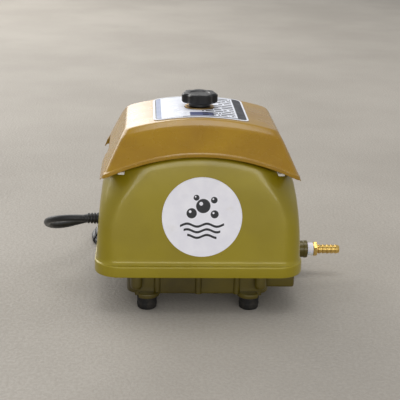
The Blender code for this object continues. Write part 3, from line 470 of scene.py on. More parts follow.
RUBBER = ((27, 26, 25), (70, 64, 55), (110, 4, 0.42, 0.75), (300, 3, 0.3, 0.7, 0.62, 0.82))
FERRITE = ((48, 48, 52), (74, 73, 76), (300, 4, 0.35, 0.7), (500, 3, 0.3, 0.7, 0.5, 0.7))
NATURAL = ((222, 216, 200), (204, 196, 174), (60, 4, 0.3, 0.75), (180, 3, 0.3, 0.7, 0.42, 0.6))
TRANSLUCENT = {"Subsurface_Weight": 0.1, "Subsurface_Scale": 0.003}
MATERIALS = {
    "olive_paint": olive_paint("olive_paint", (150, 134, 2), (140, 124, 0)),
    # A darker copy of the olive paint, kept for the tank: painted shade standing for the flange's
    # shadow over it.
    "olive_painted_shade": olive_paint("olive_painted_shade", (88, 77, 5), (62, 53, 2)),
    "tan_plastic": tan_plastic(),
    "knob_plastic": black_plastic("knob_plastic", (9, 9, 11), 0.32, 700),
    "cord_jacket": black_plastic("cord_jacket", (12, 12, 13), 0.38, 1100, 0.1),
    "black_rubber": mottled(
        "black_rubber", *RUBBER, (900, 2, 0.00012), share=0.4, Specular_IOR_Level=0.35
    ),
    "brass": brass(),
    "plated_steel": steel("plated_steel", (196, 196, 200), 0.22, (1, 6, 1)),
    "passivated_steel": steel("passivated_steel", (184, 150, 96), 0.26, (2, 2, 1)),
    "sheet_steel": steel("sheet_steel", (160, 162, 166), 0.34, (8, 1, 1)),
    "laminations": laminations(),
    "copper": copper(),
    "ferrite": mottled("ferrite", *FERRITE, (800, 3, 0.0002), Metallic=0.1),
    "natural_plastic": mottled("natural_plastic", *NATURAL, (500, 3, 0.00015), **TRANSLUCENT),
    "sealing_foam": foam(),
    "filter_felt": felt(),
    "thread_tape": thread_tape(),
    "rating_print": rating_print(),
    "badge_print": badge_print(),
}


# Helpers for meshes


def piece(name, mesh, material, body, replaces, at=(0, 0, 0), sharp=38):
    """A fine piece in the casing's frame, on its body, in place of CAD nodes."""
    obj = bpy.data.objects.new(name, mesh)
    obj.location = BODY + Vector(at)
    bpy.context.scene.collection.objects.link(obj)
    mesh.materials.append(MATERIALS[material])
    if obj.type == "MESH":
        mesh.shade_smooth()
        mesh.set_sharp_from_angle(angle=math.radians(sharp))
    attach(obj, body)
    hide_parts(*replaces)
    return obj


def to_mesh(bm, name):
    bmesh.ops.remove_doubles(bm, verts=bm.verts, dist=0.0000005)
    bm.normal_update()
    mesh = bpy.data.meshes.new(name)
    bm.to_mesh(mesh)
    bm.free()
    return mesh


def outline(half_x, half_y, radius, corner=10, along_x=26, along_y=14):
    """A rectangle with round corners, anticlockwise, with points along its straight sides too."""
    points = []
    for quarter in range(4):
        side_x = 1 if quarter in (0, 3) else -1
        side_y = 1 if quarter in (0, 1) else -1
        middle_x = side_x * (half_x - radius)
        middle_y = side_y * (half_y - radius)
        for step in range(corner + 1):
            angle = (quarter + step / corner) * math.pi / 2
            x, y = polar(radius, angle)
            points.append((middle_x + x, middle_y + y))
        count = along_x if quarter in (0, 2) else along_y
        last = Vector(points[-1])
        after = Vector((-middle_x, last.y) if quarter in (0, 2) else (last.x, -middle_y))
        for step in range(1, count):
            points.append(tuple(last.lerp(after, step / count)))
    return points


def soften(rows, steps=4):
    """Round a profile. Each row is a list of numbers whose last one is its own rounding reach."""
    fine = []
    for index, row in enumerate(rows):
        *values, reach = row
        here = Vector(values)
        if index in (0, len(rows) - 1) or reach == 0:
            fine.append(here)
            continue
        before = Vector(rows[index - 1][:-1])
        after = Vector(rows[index + 1][:-1])
        start = here.lerp(before, min(reach / max((before - here).length, 1e-9), 0.5))
        end = here.lerp(after, min(reach / max((after - here).length, 1e-9), 0.5))
        for step in range(steps + 1):
            t = step / steps
            fine.append(start.lerp(here, t).lerp(here.lerp(end, t), t))
    return fine


def skin(rows, closed_start=True, closed_end=True):
    """Join rings of points into a surface."""
    bm = bmesh.new()
    made = [[bm.verts.new(point) for point in row] for row in rows]
    count = len(made[0])
    for row, above in zip(made, made[1:]):
        for i in range(count):
            after = (i + 1) % count
            bm.faces.new((row[i], row[after], above[after], above[i]))
    if closed_start:
        bm.faces.new(list(reversed(made[0])))
    if closed_end:
        bm.faces.new(made[-1])
    return bm


def rings_from(rows, **counts):
    """Rings of points for rows of (half x, half y, corner radius, height)."""
    rings = []
    for half_x, half_y, radius, height in rows:
        radius = max(min(radius, half_x - 0.0001, half_y - 0.0001), 0.0001)
        rings.append([(x, y, height) for x, y in outline(half_x, half_y, radius, **counts)])
    return rings


def inward(row, shares=(0.93, 0.82, 0.68, 0.52, 0.36, 0.2, 0.06)):
    """Rows that close a ring's flat towards its middle, so that the flat can be arched."""
    half_x, half_y, radius, height = row
    return [Vector((half_x * s, half_y * s, radius * s, height)) for s in shares]


def bent(bm, bend):
    for vert in bm.verts:
        vert.co = bend(vert.co)
    return bm


def revolve(profile, segments=48, closed=False, wobble=None):
    """Turn (radius, height) points round Z. A wobble changes the radius by angle and height."""
    points = list(profile) + ([profile[0]] if closed else [])
    bm = bmesh.new()
    columns = []
    for angle in angles(segments):
        column = []
        for radius, height in points:
            if wobble is not None and radius != 0:
                radius += wobble(angle, height, radius)
            column.append(bm.verts.new((*polar(radius, angle), height)))
        columns.append(column)
    for column, after in zip(columns, columns[1:] + columns[:1]):
        for i in range(len(points) - 1):
            bm.faces.new((column[i], column[i + 1], after[i + 1], after[i]))
    bmesh.ops.remove_doubles(bm, verts=bm.verts, dist=0.0000005)
    bmesh.ops.dissolve_degenerate(bm, edges=bm.edges, dist=0.0000005)
    bmesh.ops.recalc_face_normals(bm, faces=bm.faces)
    return bm


def moved(bm, place):
    bmesh.ops.translate(bm, vec=place, verts=bm.verts)
    return bm


def along_x(bm):
    """Turn what stands along Z to lie along +X."""
    bmesh.ops.rotate(bm, verts=bm.verts, matrix=Matrix.Rotation(math.pi / 2, 3, "Y"))
    return bm


def rounded_profile(points, reach, closed=False, steps=3):
    """Round every corner of a (radius, height) profile."""
    rows = [(*point, reach) for point in points]
    if not closed:
        return [tuple(p) for p in soften(rows, steps)]
    wrapped = [rows[-1], *rows, rows[0]]
    return [tuple(p) for p in soften(wrapped, steps)[1:-1]]


def tool(name, bm):
    """A mesh object for a boolean, removed again afterwards."""
    bmesh.ops.recalc_face_normals(bm, faces=bm.faces)
    obj = bpy.data.objects.new(name, to_mesh(bm, name))
    bpy.context.scene.collection.objects.link(obj)
    return obj


def bar(radius, start, end, segments=32, radius_end=None):
    """A round bar or cone from start to end."""
    start = Vector(start)
    way = Vector(end) - start
    bm = bmesh.new()
    bmesh.ops.create_cone(
        bm,
        cap_ends=True,
        segments=segments,
        radius1=radius,
        radius2=radius if radius_end is None else radius_end,
        depth=way.length,
    )
    turn = Vector((0, 0, 1)).rotation_difference(way).to_matrix().to_4x4()
    bmesh.ops.transform(bm, matrix=Matrix.Translation(start + way / 2) @ turn, verts=bm.verts)
    return bm


def block(low, high, radius=0.0, steps=2):
    """A box, with its edges rounded if radius is given."""
    low = Vector(low)
    high = Vector(high)
    bm = bmesh.new()
    bmesh.ops.create_cube(bm, size=1.0)
    bmesh.ops.scale(bm, vec=high - low, verts=bm.verts)
    moved(bm, (low + high) / 2)
    if radius:
        settings = {"segments": steps, "affect": "EDGES", "profile": 0.5}
        bmesh.ops.bevel(bm, geom=bm.edges, offset=radius, **settings)
    return bm


def combine(mesh, steps):
    """Join bodies to a mesh and cut others away. steps is a list of (operation, bmesh)."""
    base = bpy.data.objects.new("base", mesh)
    bpy.context.scene.collection.objects.link(base)
    tools = []
    for index, (operation, bm) in enumerate(steps):
        other = tool(f"tool_{index}", bm)
        modifier = base.modifiers.new(f"step_{index}", "BOOLEAN")
        modifier.operation = operation
        modifier.solver = "EXACT"
        modifier.object = other
        tools.append(other)
    graph = bpy.context.evaluated_depsgraph_get()
    made = bpy.data.meshes.new_from_object(base.evaluated_get(graph))
    for obj in (base, *tools):
        bpy.data.objects.remove(obj, do_unlink=True)
    return made


# The cord


def smooth_route(points, spacing):
    """Points at an even spacing along a smooth curve through the given ones."""
    points = [Vector(p) for p in points]
    padded = [2 * points[0] - points[1], *points, 2 * points[-1] - points[-2]]
    fine = []
    for before, start, end, after in zip(padded, padded[1:], padded[2:], padded[3:]):
        for step in range(24):
            t = step / 24
            along = (
                2 * start
                + (end - before) * t
                + (2 * before - 5 * start + 4 * end - after) * t * t
                + (3 * start - before - 3 * end + after) * t * t * t
            )
            fine.append(along / 2)
    fine.append(points[-1])
    lengths = [0.0]
    for a, b in zip(fine, fine[1:]):
        lengths.append(lengths[-1] + (b - a).length)
    count = max(2, round(lengths[-1] / spacing) + 1)
    even = []
    index = 0
    for number in range(count):
        place = lengths[-1] * number / (count - 1)
        while index < len(fine) - 2 and lengths[index + 1] < place:
            index += 1
        share = (place - lengths[index]) / (lengths[index + 1] - lengths[index])
        even.append(fine[index].lerp(fine[index + 1], min(share, 1)))
    return even


# From the strain relief round a sagging bend, back behind the casing and down to the coil
CORD_ROUTE = [
    (-0.1300, 0.0, 0.081), (-0.1400, 0.0000, 0.0811), (-0.1510, 0.0010, 0.0806),
    (-0.1620, 0.0055, 0.0782), (-0.1710, 0.0145, 0.0735), (-0.1758, 0.0280, 0.0662),
    (-0.1745, 0.0425, 0.0586), (-0.1675, 0.0565, 0.0525), (-0.1560, 0.0705, 0.0490),
    (-0.1430, 0.0870, 0.0470), (-0.1325, 0.1070, 0.0430), (-0.1255, 0.1280, 0.0365),
    (-0.1210, 0.1500, 0.0285), (-0.1145, 0.1730, 0.0222), (-0.1041, 0.1945, 0.0195),
    (-0.0955, 0.2021, 0.0194),
]
LAYER_LOW = CORD_RADIUS + 0.0001
LAYER_HIGH = LAYER_LOW + 0.0069
TURN_RADII = [(0.050, LAYER_HIGH), (0.042, LAYER_HIGH), (0.038, LAYER_LOW)]
TURN_RADII += [(0.046, LAYER_LOW), (0.054, LAYER_LOW)]
COIL_START = 118  # degrees round the coil, which winds clockwise seen from above
COIL_END = 40
PLUG_TURN = math.radians(-50)


def ease(t):
    t = min(max(t, 0), 1)
    return t * t * (3 - 2 * t)


def coil_points():
    """The turns, from where the cord lands on them to where it leaves for the plug."""
    total = 360 * len(TURN_RADII) + COIL_START - COIL_END
    points = []
    step = 8
    for turned in range(step, total + 1, step):
        turn = min(turned // 360, len(TURN_RADII) - 1)
        inside = turned - 360 * turn
        radius, height = TURN_RADII[turn]
        if turn + 1 < len(TURN_RADII):
            after_radius, after_height = TURN_RADII[turn + 1]
            share = ease((inside - 290) / 70)
            radius += (after_radius - radius) * share
            height += (after_height - height) * share
        if turned < 120:
            height += (CORD_ROUTE[-1][2] - LAYER_HIGH) * (1 - ease(turned / 110))
        angle = math.radians(COIL_START - turned)
        x, y = polar(radius, angle)
        points.append((COIL.x + x, COIL.y + y, height))
    return points


def make_cord():
    """One jacketed lead: the route, the turns of its coil, and the last stretch to the plug."""
    plug = BODY * -1 + plug_start()
    turns = coil_points()
    last = [Vector(turns[-1]).lerp(plug, 0.35), Vector(turns[-1]).lerp(plug, 0.7), plug]
    last[0].z = LAYER_LOW + 0.0012
    last[1].z = plug.z - 0.0020
    points = smooth_route([*CORD_ROUTE, *turns, *last], 0.004)
    curve = bpy.data.curves.new("power_cord", "CURVE")
    curve.dimensions = "3D"
    curve.bevel_depth = CORD_RADIUS
    curve.bevel_resolution = 5
    curve.use_fill_caps = True
    spline = curve.splines.new("POLY")
    spline.points.add(len(points) - 1)
    for point, place in zip(spline.points, points):
        point.co = (*place, 1)
    spline.use_smooth = True
    nodes = ["power_cord", "cord_coil"]
    cord = piece("power_lead", curve, "cord_jacket", "casing", nodes)
    length = sum((b - a).length for a, b in zip(points, points[1:]))
    return cord, length


def plug_start():
    """Where the cord enters the plug: the middle of the plug's end face."""
    heading = Vector((*polar(1, PLUG_TURN), 0))
    corners = [Vector(v.co) for v in frame["nodes"]["power_plug"].data.vertices]
    start = min(p.dot(heading) for p in corners)
    face = [p for p in corners if abs(p.dot(heading) - start) < 0.0001]
    return sum(face, Vector((0, 0, 0))) / len(face)


# The casing


def wall_at(height):
    """Half width, half depth and corner radius of the casing's outside, before it is arched."""
    rows = WALL_ROWS
    height = max(height, rows[0][0])
    for index in range(len(rows) - 1):
        low, high = rows[index], rows[index + 1]
        if height <= high[0]:
            before = rows[max(index - 1, 0)]
            after = rows[min(index + 2, len(rows) - 1)]
            span = high[0] - low[0]
            t = (height - low[0]) / span
            values = []
            for a, b, c, d in zip(before[1:], low[1:], high[1:], after[1:]):
                slope_low = (c - a) / (high[0] - before[0]) * span
                slope_high = (d - b) / (after[0] - low[0]) * span
                values.append(
                    b * (2 * t**3 - 3 * t**2 + 1)
                    + slope_low * (t**3 - 2 * t**2 + t)
                    + c * (3 * t**2 - 2 * t**3)
                    + slope_high * (t**3 - t**2)
                )
            return tuple(values)
    return rows[-1][1:]


def arch_casing(point):
    """Bend the casing's upper part into its arch. Nothing moves below the first wall row."""
    x, y, z = point
    low = WALL_ROWS[0][0]
    share = min(max((z - low) / (CASING_TOP - low), 0), 1)
    return Vector((x, y, z - CASING_ARCH * x * x * share))


def casing_height_before_arch(x, z):
    """The height that arch_casing moves to z at x."""
    low = WALL_ROWS[0][0]
    if z <= low:
        return z
    drop = CASING_ARCH * x * x
    return (z - low * drop / (CASING_TOP - low)) / (1 - drop / (CASING_TOP - low))


def casing_rows():
    """From the middle of the ceiling inside, down, out, up over the rim, to the tray's middle."""
    rows = []
    for height in (DECK_LOW, 0.142, 0.130, 0.118, 0.106, 0.094, 0.082, 0.070):
        rows.append(Vector((*(size - CASING_WALL for size in wall_at(height)), height)))
    rows = list(reversed(inward(rows[0]))) + rows
    step = PLATE_HIGH + GAP
    rows.append(Vector((0.1100, 0.0795, 0.0205, step)))
    rows.append(Vector((0.1113, 0.0846, 0.0238, step)))
    flange = [
        (0.1113, 0.0846, 0.0238, FLANGE_LOW, 0.0003),
        (FLANGE_X, FLANGE_Y, 0.0280, FLANGE_LOW, 0.0014),
        (FLANGE_X, FLANGE_Y, 0.0280, FLANGE_HIGH - 0.0002, 0.0020),
        (0.1143, 0.0852, 0.0256, FLANGE_HIGH, 0.0010),
        (0.1136, 0.0832, 0.0242, 0.0580, 0.0030),
    ]
    outside = [(*wall_at(height), height, 0.0) for height in heights_of_wall()]
    rim = [
        (0.1043, 0.0670, 0.0470, CASING_TOP - 0.0012, 0.0016),
        (0.1024, 0.0652, 0.0452, CASING_TOP + 0.0001, 0.0010),
        (0.0990, 0.0596, 0.0400, CASING_TOP + 0.0001, 0.0007),
        (0.0986, 0.0592, 0.0396, COLLAR_TOP, 0.0006),
        (0.0966, 0.0572, 0.0376, COLLAR_TOP, 0.0006),
        (0.0962, 0.0568, 0.0372, DECK_HIGH, 0.0015),
    ]
    rows += soften([*flange, *outside, *rim, (0.0946, 0.0552, 0.0356, DECK_HIGH, 0)])
    return rows + inward(rows[-1])


def heights_of_wall():
    low = 0.0620
    high = WALL_ROWS[-1][0] - 0.0006
    return [low + (high - low) * i / 21 for i in range(22)]


def make_housing():
    """The casing: shell with its flange, rim and tray, the post for the knob, holes and bosses."""
    shell = to_mesh(bent(skin(rings_from(casing_rows())), arch_casing), "casing")
    post, stud_hole, boss, screw_hole, vent, cord_hole = 0.0085, 0.0041, 0.005, 0.0023, 0.006, 0.006
    step = PLATE_HIGH + GAP
    steps = [("UNION", bar(post, (0, 0, DECK_LOW + 0.001), (0, 0, 0.1735)))]
    for x, y in four_corners(*SCREW_AT):
        steps.append(("UNION", bar(boss, (x, y, step), (x, y, 0.076), 24)))
        steps.append(("DIFFERENCE", bar(screw_hole, (x, y, 0.048), (x, y, 0.0705), 16)))
    steps.append(("DIFFERENCE", bar(stud_hole, (0, 0, 0.158), (0, 0, 0.18), 24)))
    for x, y in four_corners(0.030, 0.018):
        steps.append(("DIFFERENCE", bar(vent, (x, y, 0.14), (x, y, 0.16), 24)))
    steps.append(("DIFFERENCE", bar(cord_hole, (-0.13, 0, CORD_Z), (-0.10, 0, CORD_Z), 24)))
    mesh = combine(shell, steps)
    piece("casing_shell", mesh, "olive_paint", "casing", ["upper_housing"], sharp=50)


# The cover


def arch_cover(point):
    """Bend the cover into its arch, and draw the lower edge of each side down between corners."""
    x, y, z = point
    share = min(max((COVER_TOP - z) / (COVER_TOP - COVER_LOW), 0), 1)
    arch = COVER_ARCH_TOP + (COVER_ARCH_LOW - COVER_ARCH_TOP) * share
    is_side = abs(x) >= 0.099
    edge = min(max((SKIRT_TOP - z) / 0.0012, 0), 1)
    drop = SKIRT_DROP * ease((SKIRT_HALF - abs(y)) / 0.012) * edge * is_side
    return Vector((x + math.copysign(drop / 2, x), y, z - arch * x * x - drop))


def cover_rows():
    """From the middle of the ceiling inside, down and out under the lip, and up to the top."""
    under = COVER_LOW + COVER_WALL
    ceiling = Vector((0.0790, 0.0562, 0.0050, COVER_TOP - COVER_WALL))
    rows = list(reversed(inward(ceiling)))
    outer = [
        (*ceiling, 0.0),
        (0.0842, 0.0650, 0.0050, 0.2064, 0.0010),
        (0.1000, 0.0808, 0.0060, under + 0.0012, 0.0004),
        (0.1012, 0.0818, 0.0060, under, 0.0),
        (0.1008, 0.0612, 0.0040, under - 0.0002, 0.0002),
        (0.1032, 0.0604, 0.0040, COVER_LOW, 0.0002),
        (0.1068, 0.0857, 0.0084, COVER_LOW, 0.0007),
        (0.1071, 0.0860, 0.0086, COVER_LOW + 0.0006, 0.0004),
        (0.1057, 0.0858, 0.0084, 0.1823, 0.0005),
        (0.1042, 0.0840, 0.0080, 0.1831, 0.0005),
        (0.1003, 0.0804, 0.0079, 0.1890, 0.0),
        (0.0963, 0.0767, 0.0077, 0.1949, 0.0),
        (0.0924, 0.0730, 0.0075, 0.2007, 0.0),
        (0.0884, 0.0693, 0.0074, 0.2066, 0.0012),
        (0.0864, 0.0670, 0.0072, 0.2092, 0.0012),
        (0.0828, 0.0604, 0.0070, 0.2134, 0.0016),
        (0.0806, 0.0580, 0.0060, COVER_TOP, 0.0014),
        (0.0780, 0.0553, 0.0056, COVER_TOP, 0.0),
    ]
    rows += soften(outer)
    return rows + inward(rows[-1])


def make_cover():
    """The filter cover, with the hole for the knob's stud and an air intake in each side."""
    bm = skin(rings_from(cover_rows(), corner=7, along_x=40, along_y=44))
    shell = to_mesh(bent(bm, arch_cover), "cover")
    steps = [("DIFFERENCE", bar(0.0045, (0, 0, 0.20), (0, 0, 0.22), 32))]
    for side in (-1, 1):
        ends = sorted((side * 0.094, side * 0.130))
        intake = block((ends[0], 0.002, 0.130), (ends[1], 0.071, 0.1635), 0.0015)
        steps.append(("DIFFERENCE", intake))
    mesh = combine(shell, steps)
    piece("cover_shell", mesh, "tan_plastic", "cover", ["filter_cover"], sharp=50)


def make_label():
    """The printed plate on the cover's top, with a hole round the knob's washer."""
    lift = COVER_TOP + GAP
    low = Vector((LABEL_X, LABEL_Y, LABEL_CORNER, lift))
    edge = Vector((LABEL_X, LABEL_Y, LABEL_CORNER, lift + 0.0003))
    high = edge - Vector((0.0002, 0.0002, 0.0002, -0.0002))
    bm = skin(rings_from([*reversed(inward(low)), low, edge, high, *inward(high)]))
    bent(bm, lambda p: Vector((p.x, p.y, p.z - COVER_ARCH_TOP * p.x * p.x)))
    hole = bar(0.0172, (0, -0.002, 0.20), (0, -0.002, 0.22), 48)
    mesh = combine(to_mesh(bm, "label"), [("DIFFERENCE", hole)])
    nodes = ["rating_label"]
    piece("label_plate", mesh, "rating_print", "cover", nodes, (0, 0.002, 0))


def make_felt():
    """The felt that lies in the tray, soft at its edges and a little lumpy."""
    low = DECK_HIGH + GAP
    high = low + 0.0118
    rows = [
        (0.0935, 0.0540, 0.0345, low, 0.0),
        (0.0950, 0.0555, 0.0360, low + 0.0012, 0.0008),
        (0.0950, 0.0555, 0.0360, high - 0.0016, 0.0014),
        (0.0930, 0.0535, 0.0340, high, 0.0),
    ]
    fine = soften(rows)
    fine = [*reversed(inward(fine[0])), *fine, *inward(fine[-1])]
    bm = skin(rings_from(fine))
    for vert in bm.verts:
        if vert.co.z > low + 0.004:
            vert.co.z -= 0.0004 + 0.0005 * noise.noise(vert.co * 60)
    hole = bar(0.0095, (0, 0, 0.14), (0, 0, 0.18), 40)
    mesh = combine(to_mesh(bent(bm, arch_casing), "felt"), [("DIFFERENCE", hole)])
    pad = piece("felt_pad", mesh, "filter_felt", "casing", ["filter_felt"], sharp=60)


def make_pads():
    """The four blocks of sealing foam that the cover rests on."""
    for place in ("rear_left", "rear_right", "front_left", "front_right"):
        node = f"cover_pad_{place}"
        low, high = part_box(node)
        mesh = to_mesh(block(low - BODY, high - BODY, 0.0007, 3), node)
        pad = piece(f"foam_pad_{place}", mesh, "sealing_foam", "cover", [node])


# The knob


def make_knob():
    """The lobed knob on its neck, as one surface from the stud's socket to the dish."""
    lobes, radius, depth = 7, 0.0205, 0.0024
    rows = [
        (0.0000, 0.0, 0.2248, 0.0), (0.0041, 0.0, 0.2248, 0.0), (0.0041, 0.0, 0.2159, 0.0),
        (0.0121, 0.0, 0.2159, 0.0002), (0.0125, 0.0, 0.2163, 0.0004), (0.0123, 0.0, 0.2192, 0.0008),
        (0.0134, 0.2, 0.2200, 0.0004), (0.0190, 0.9, 0.2201, 0.0008),
        (radius - 0.0001, 1.0, 0.2215, 0.0012),
        (radius, 1.0, 0.2289, 0.0016),
        (0.0184, 0.9, 0.2307, 0.0016),
        (0.0114, 0.1, 0.2308, 0.0006),
        (0.0104, 0.0, 0.2299, 0.0006),
        (0.0000, 0.0, 0.2296, 0.0),
    ]
    rings = []
    for reach, share, height in soften(rows):
        ring = []
        for angle in angles(lobes * 16):
            hollow = (1 - math.cos(lobes * angle)) / 2
            at = max(reach - depth * share * hollow**1.4, 0.00002)
            ring.append((-at * math.sin(angle), at * math.cos(angle), height))
        rings.append(ring)
    mesh = to_mesh(skin(rings), "knob")
    piece("knob_body", mesh, "knob_plastic", "knob", ["cover_knob"], sharp=45)


def make_washer():
    profile = [(0.01635, 0.2156), (0.01635, 0.2143), (0.0048, 0.2143), (0.0048, 0.2156)]
    mesh = to_mesh(revolve(rounded_profile(profile, 0.0004, True), 72, True), "washer")
    piece("washer_plate", mesh, "passivated_steel", "knob_carrier", ["knob_washer"])


# The badge


def make_badge():
    """A thin disc that follows the casing's leaning front."""
    thick = 0.0005
    rows = [(0.03, 0.0), (0.25, 0.0), (0.5, 0.0), (0.75, 0.0), (0.9, 0.0), (1.0, 0.0)]
    rows += [(1.0, thick * 0.6), (0.997, thick), (0.95, thick), (0.85, thick), (0.7, thick)]
    rows += [(0.55, thick), (0.4, thick), (0.25, thick), (0.1, thick), (0.02, thick)]
    rings = []
    for share, lift in rows:
        ring = []
        for angle in angles(96):
            x, z = polar(BADGE_RADIUS * share, angle)
            _, depth, _ = wall_at(casing_height_before_arch(x + BADGE.x, z + BADGE.z))
            ring.append((x, -depth - GAP - lift, z))
        rings.append(ring)
    bm = skin(rings)
    bmesh.ops.recalc_face_normals(bm, faces=bm.faces)
    mesh = to_mesh(bm, "badge")
    at = (BADGE.x, 0, BADGE.z)
    piece("badge_disc", mesh, "badge_print", "casing", ["front_badge"], at)


# The tank, the feet and the outlet


def prism(points, low, high):
    """A flat outline with thickness from height low to height high."""
    return skin([[(x, y, low) for x, y in points], [(x, y, high) for x, y in points]])


def make_tank():
    """The cast tank, joined from its plate, pan, ribs, duct, foot sockets, bosses and spigot."""
    top = FLANGE_LOW + 0.001
    pan = [
        (0.0760, 0.0660, 0.0110, 0.0160, 0.0),
        (0.0796, 0.0696, 0.0146, 0.0162, 0.0016),
        (0.0800, 0.0700, 0.0150, 0.0185, 0.0010),
        (0.0800, 0.0700, 0.0150, top, 0.0),
    ]
    base = to_mesh(skin(rings_from(soften(pan), along_x=1, along_y=1)), "tank")
    plate = outline(0.1105, 0.0838, 0.023, along_x=1, along_y=1)
    steps = [("UNION", prism(plate, FLANGE_LOW, 0.0463))]
    for x in (-0.046, 0.0, 0.043):
        for y in (-0.0695, 0.0695):
            steps.append(("UNION", bar(0.0038, (x, y, 0.0168), (x, y, top), 24)))
    steps.append(("UNION", block((0.075, -0.065, 0.022), (0.1085, 0.052, top), 0.003, 3)))
    cup = [(0, 0.0195), (0.0131, 0.0195), (0.0137, 0.0189), (0.0137, 0.0152)]
    cup += [(0.0130, 0.0145), (0, 0.0145)]
    for x, y in four_corners(*FOOT_AT):
        socket = revolve(rounded_profile(cup, 0.0006), 48)
        steps.append(("UNION", moved(socket, (x, y, 0))))
    dome = [(0, 0.011), (0.0067, 0.011), (0.0067, -0.0043), (0.0056, -0.0072), (0, -0.008)]
    for x, y in four_corners(*SCREW_AT):
        boss = revolve(rounded_profile(dome, 0.0016), 28)
        steps.append(("UNION", moved(boss, (x, y, 0.0323))))
    spigot = [(0, 0.105), (0.0102, 0.105), (0.0102, 0.1320), (0.0106, 0.1330)]
    spigot += [(0.0106, 0.1366), (0.0099, 0.1373), (0, 0.1373)]
    round_end = along_x(revolve(rounded_profile(spigot, 0.0004), 48))
    steps.append(("UNION", moved(round_end, (0, OUTLET.y, OUTLET.z))))
    steps += [("DIFFERENCE", cutter) for cutter in tank_cutters()]
    mesh = combine(base, steps)
    # The tank takes the darker olive copy: painted shade for the flange's shadow.
    piece("tank_casting", mesh, "olive_painted_shade", "casing", ["base_tank"], sharp=35)


def tank_cutters():
    """The tank's chamber, its side duct, the outlet's bore, and the holes for feet and screws."""
    inner = outline(0.077, 0.067, 0.012, along_x=1, along_y=1)
    outlet_bore, foot_hole, screw_head, screw_hole = 0.0071, 0.0063, 0.0045, 0.0024
    cutters = [prism(inner, 0.019, 0.060), block((0.084, -0.061, 0.0255), (0.105, 0.020, 0.060))]
    start = (0.070, OUTLET.y, OUTLET.z)
    cutters.append(bar(outlet_bore, start, (0.147, OUTLET.y, OUTLET.z), 40))
    for x, y in four_corners(*FOOT_AT):
        cutters.append(bar(foot_hole, (x, y, 0), (x, y, 0.0175), 24))
    for x, y in four_corners(*SCREW_AT):
        cutters.append(bar(screw_head, (x, y, 0), (x, y, 0.034), 24))
        cutters.append(bar(screw_hole, (x, y, 0.03), (x, y, 0.06), 16))
    return cutters


def make_feet():
    profile = [
        (0, 0.0170), (0.0056, 0.0170), (0.0060, 0.0160), (0.0060, 0.0142), (0.0112, 0.0142),
        (0.0108, 0.0076), (0.0112, 0.0068), (0.0106, 0.0010), (0.0094, 0.0), (0, 0.0),
    ]
    smooth = rounded_profile(profile, 0.0005)
    for place in ("front_left", "rear_left", "front_right", "rear_right"):
        node = f"foot_{place}"
        spot = middle(node) - BODY
        mesh = to_mesh(revolve(smooth, 48), node)
        at = (spot.x, spot.y, 0)
        piece(f"rubber_foot_{place}", mesh, "black_rubber", "casing", [node], at)


def barb_profile():
    """The barb's outside from its tip back to the thread, then its bore, by radius and X."""
    tip, hexagon, barbs = 0.1767, 0.1492, 5
    points = [(0.0042, tip), (0.0047, tip - 0.0006)]
    pitch = (tip - 0.0020 - hexagon) / barbs
    for i in range(barbs):
        ridge = tip - pitch * (i + 1)
        points += [(0.0056, ridge + 0.0005), (0.0056, ridge), (0.0047, ridge - 0.0004)]
    points += [(0.0047, hexagon - 0.001), (0.0066, hexagon - 0.0012), (0.0066, 0.1215)]
    return points + [(0.0032, 0.1215), (0.0032, tip)]


def hexagon_nut(low, high, flat, corner):
    """A hexagon along X whose corners are chamfered round at both ends."""
    rings = []
    bevel = 0.0005
    rows = ((low, flat), (low + bevel, corner), (high - bevel, corner), (high, flat))
    for height, reach in rows:
        ring = []
        for angle in angles(72):
            edge = flat / math.cos((angle % (math.pi / 3)) - math.pi / 6)
            ring.append((*polar(min(edge, reach), angle), height))
        rings.append(ring)
    return along_x(skin(rings))


TAPE_START, TAPE_PITCH = 0.1376, 0.0019


def make_outlet():
    """The brass barb with its hexagon, and the tape wound on the thread behind it."""
    at = (0, OUTLET.y, OUTLET.z)
    turned = along_x(revolve(rounded_profile(barb_profile(), 0.0003, True), 56, True))
    hexagon = hexagon_nut(0.1449, 0.1492, 0.00797, 0.0091)
    steps = [("UNION", hexagon), ("DIFFERENCE", bar(0.0032, (0.118, 0, 0), (0.18, 0, 0), 40))]
    mesh = combine(to_mesh(turned, "barb"), steps)
    piece("barb_fitting", mesh, "brass", "casing", ["hose_barb"], at, sharp=28)
    profile = [(0.0074, 0.1446), (0.0078, 0.1436), (0.0077, 0.1386), (0.0075, TAPE_START)]
    profile += [(0.0069, TAPE_START), (0.0069, 0.1446)]
    rounded = rounded_profile(profile, 0.0004, True)
    stepped = []
    for here, after in zip(rounded, rounded[1:] + rounded[:1]):
        for share in (0.0, 0.25, 0.5, 0.75):
            stepped.append(tuple(a + (b - a) * share for a, b in zip(here, after)))

    def wound(angle, height, radius):
        if radius < 0.0071:
            return 0.0
        turn = (height - TAPE_START) / TAPE_PITCH + angle / (2 * math.pi)
        crease = noise.noise(Vector((math.cos(angle) * 3, math.sin(angle) * 3, height * 900)))
        return 0.00014 * (turn % 1.0) + 0.00010 * crease - 0.00012

    mesh = to_mesh(along_x(revolve(stepped, 72, True, wound)), "tape")
    piece("tape_winding", mesh, "thread_tape", "casing", ["thread_tape"], at)


# The strain relief, the plug and the cord


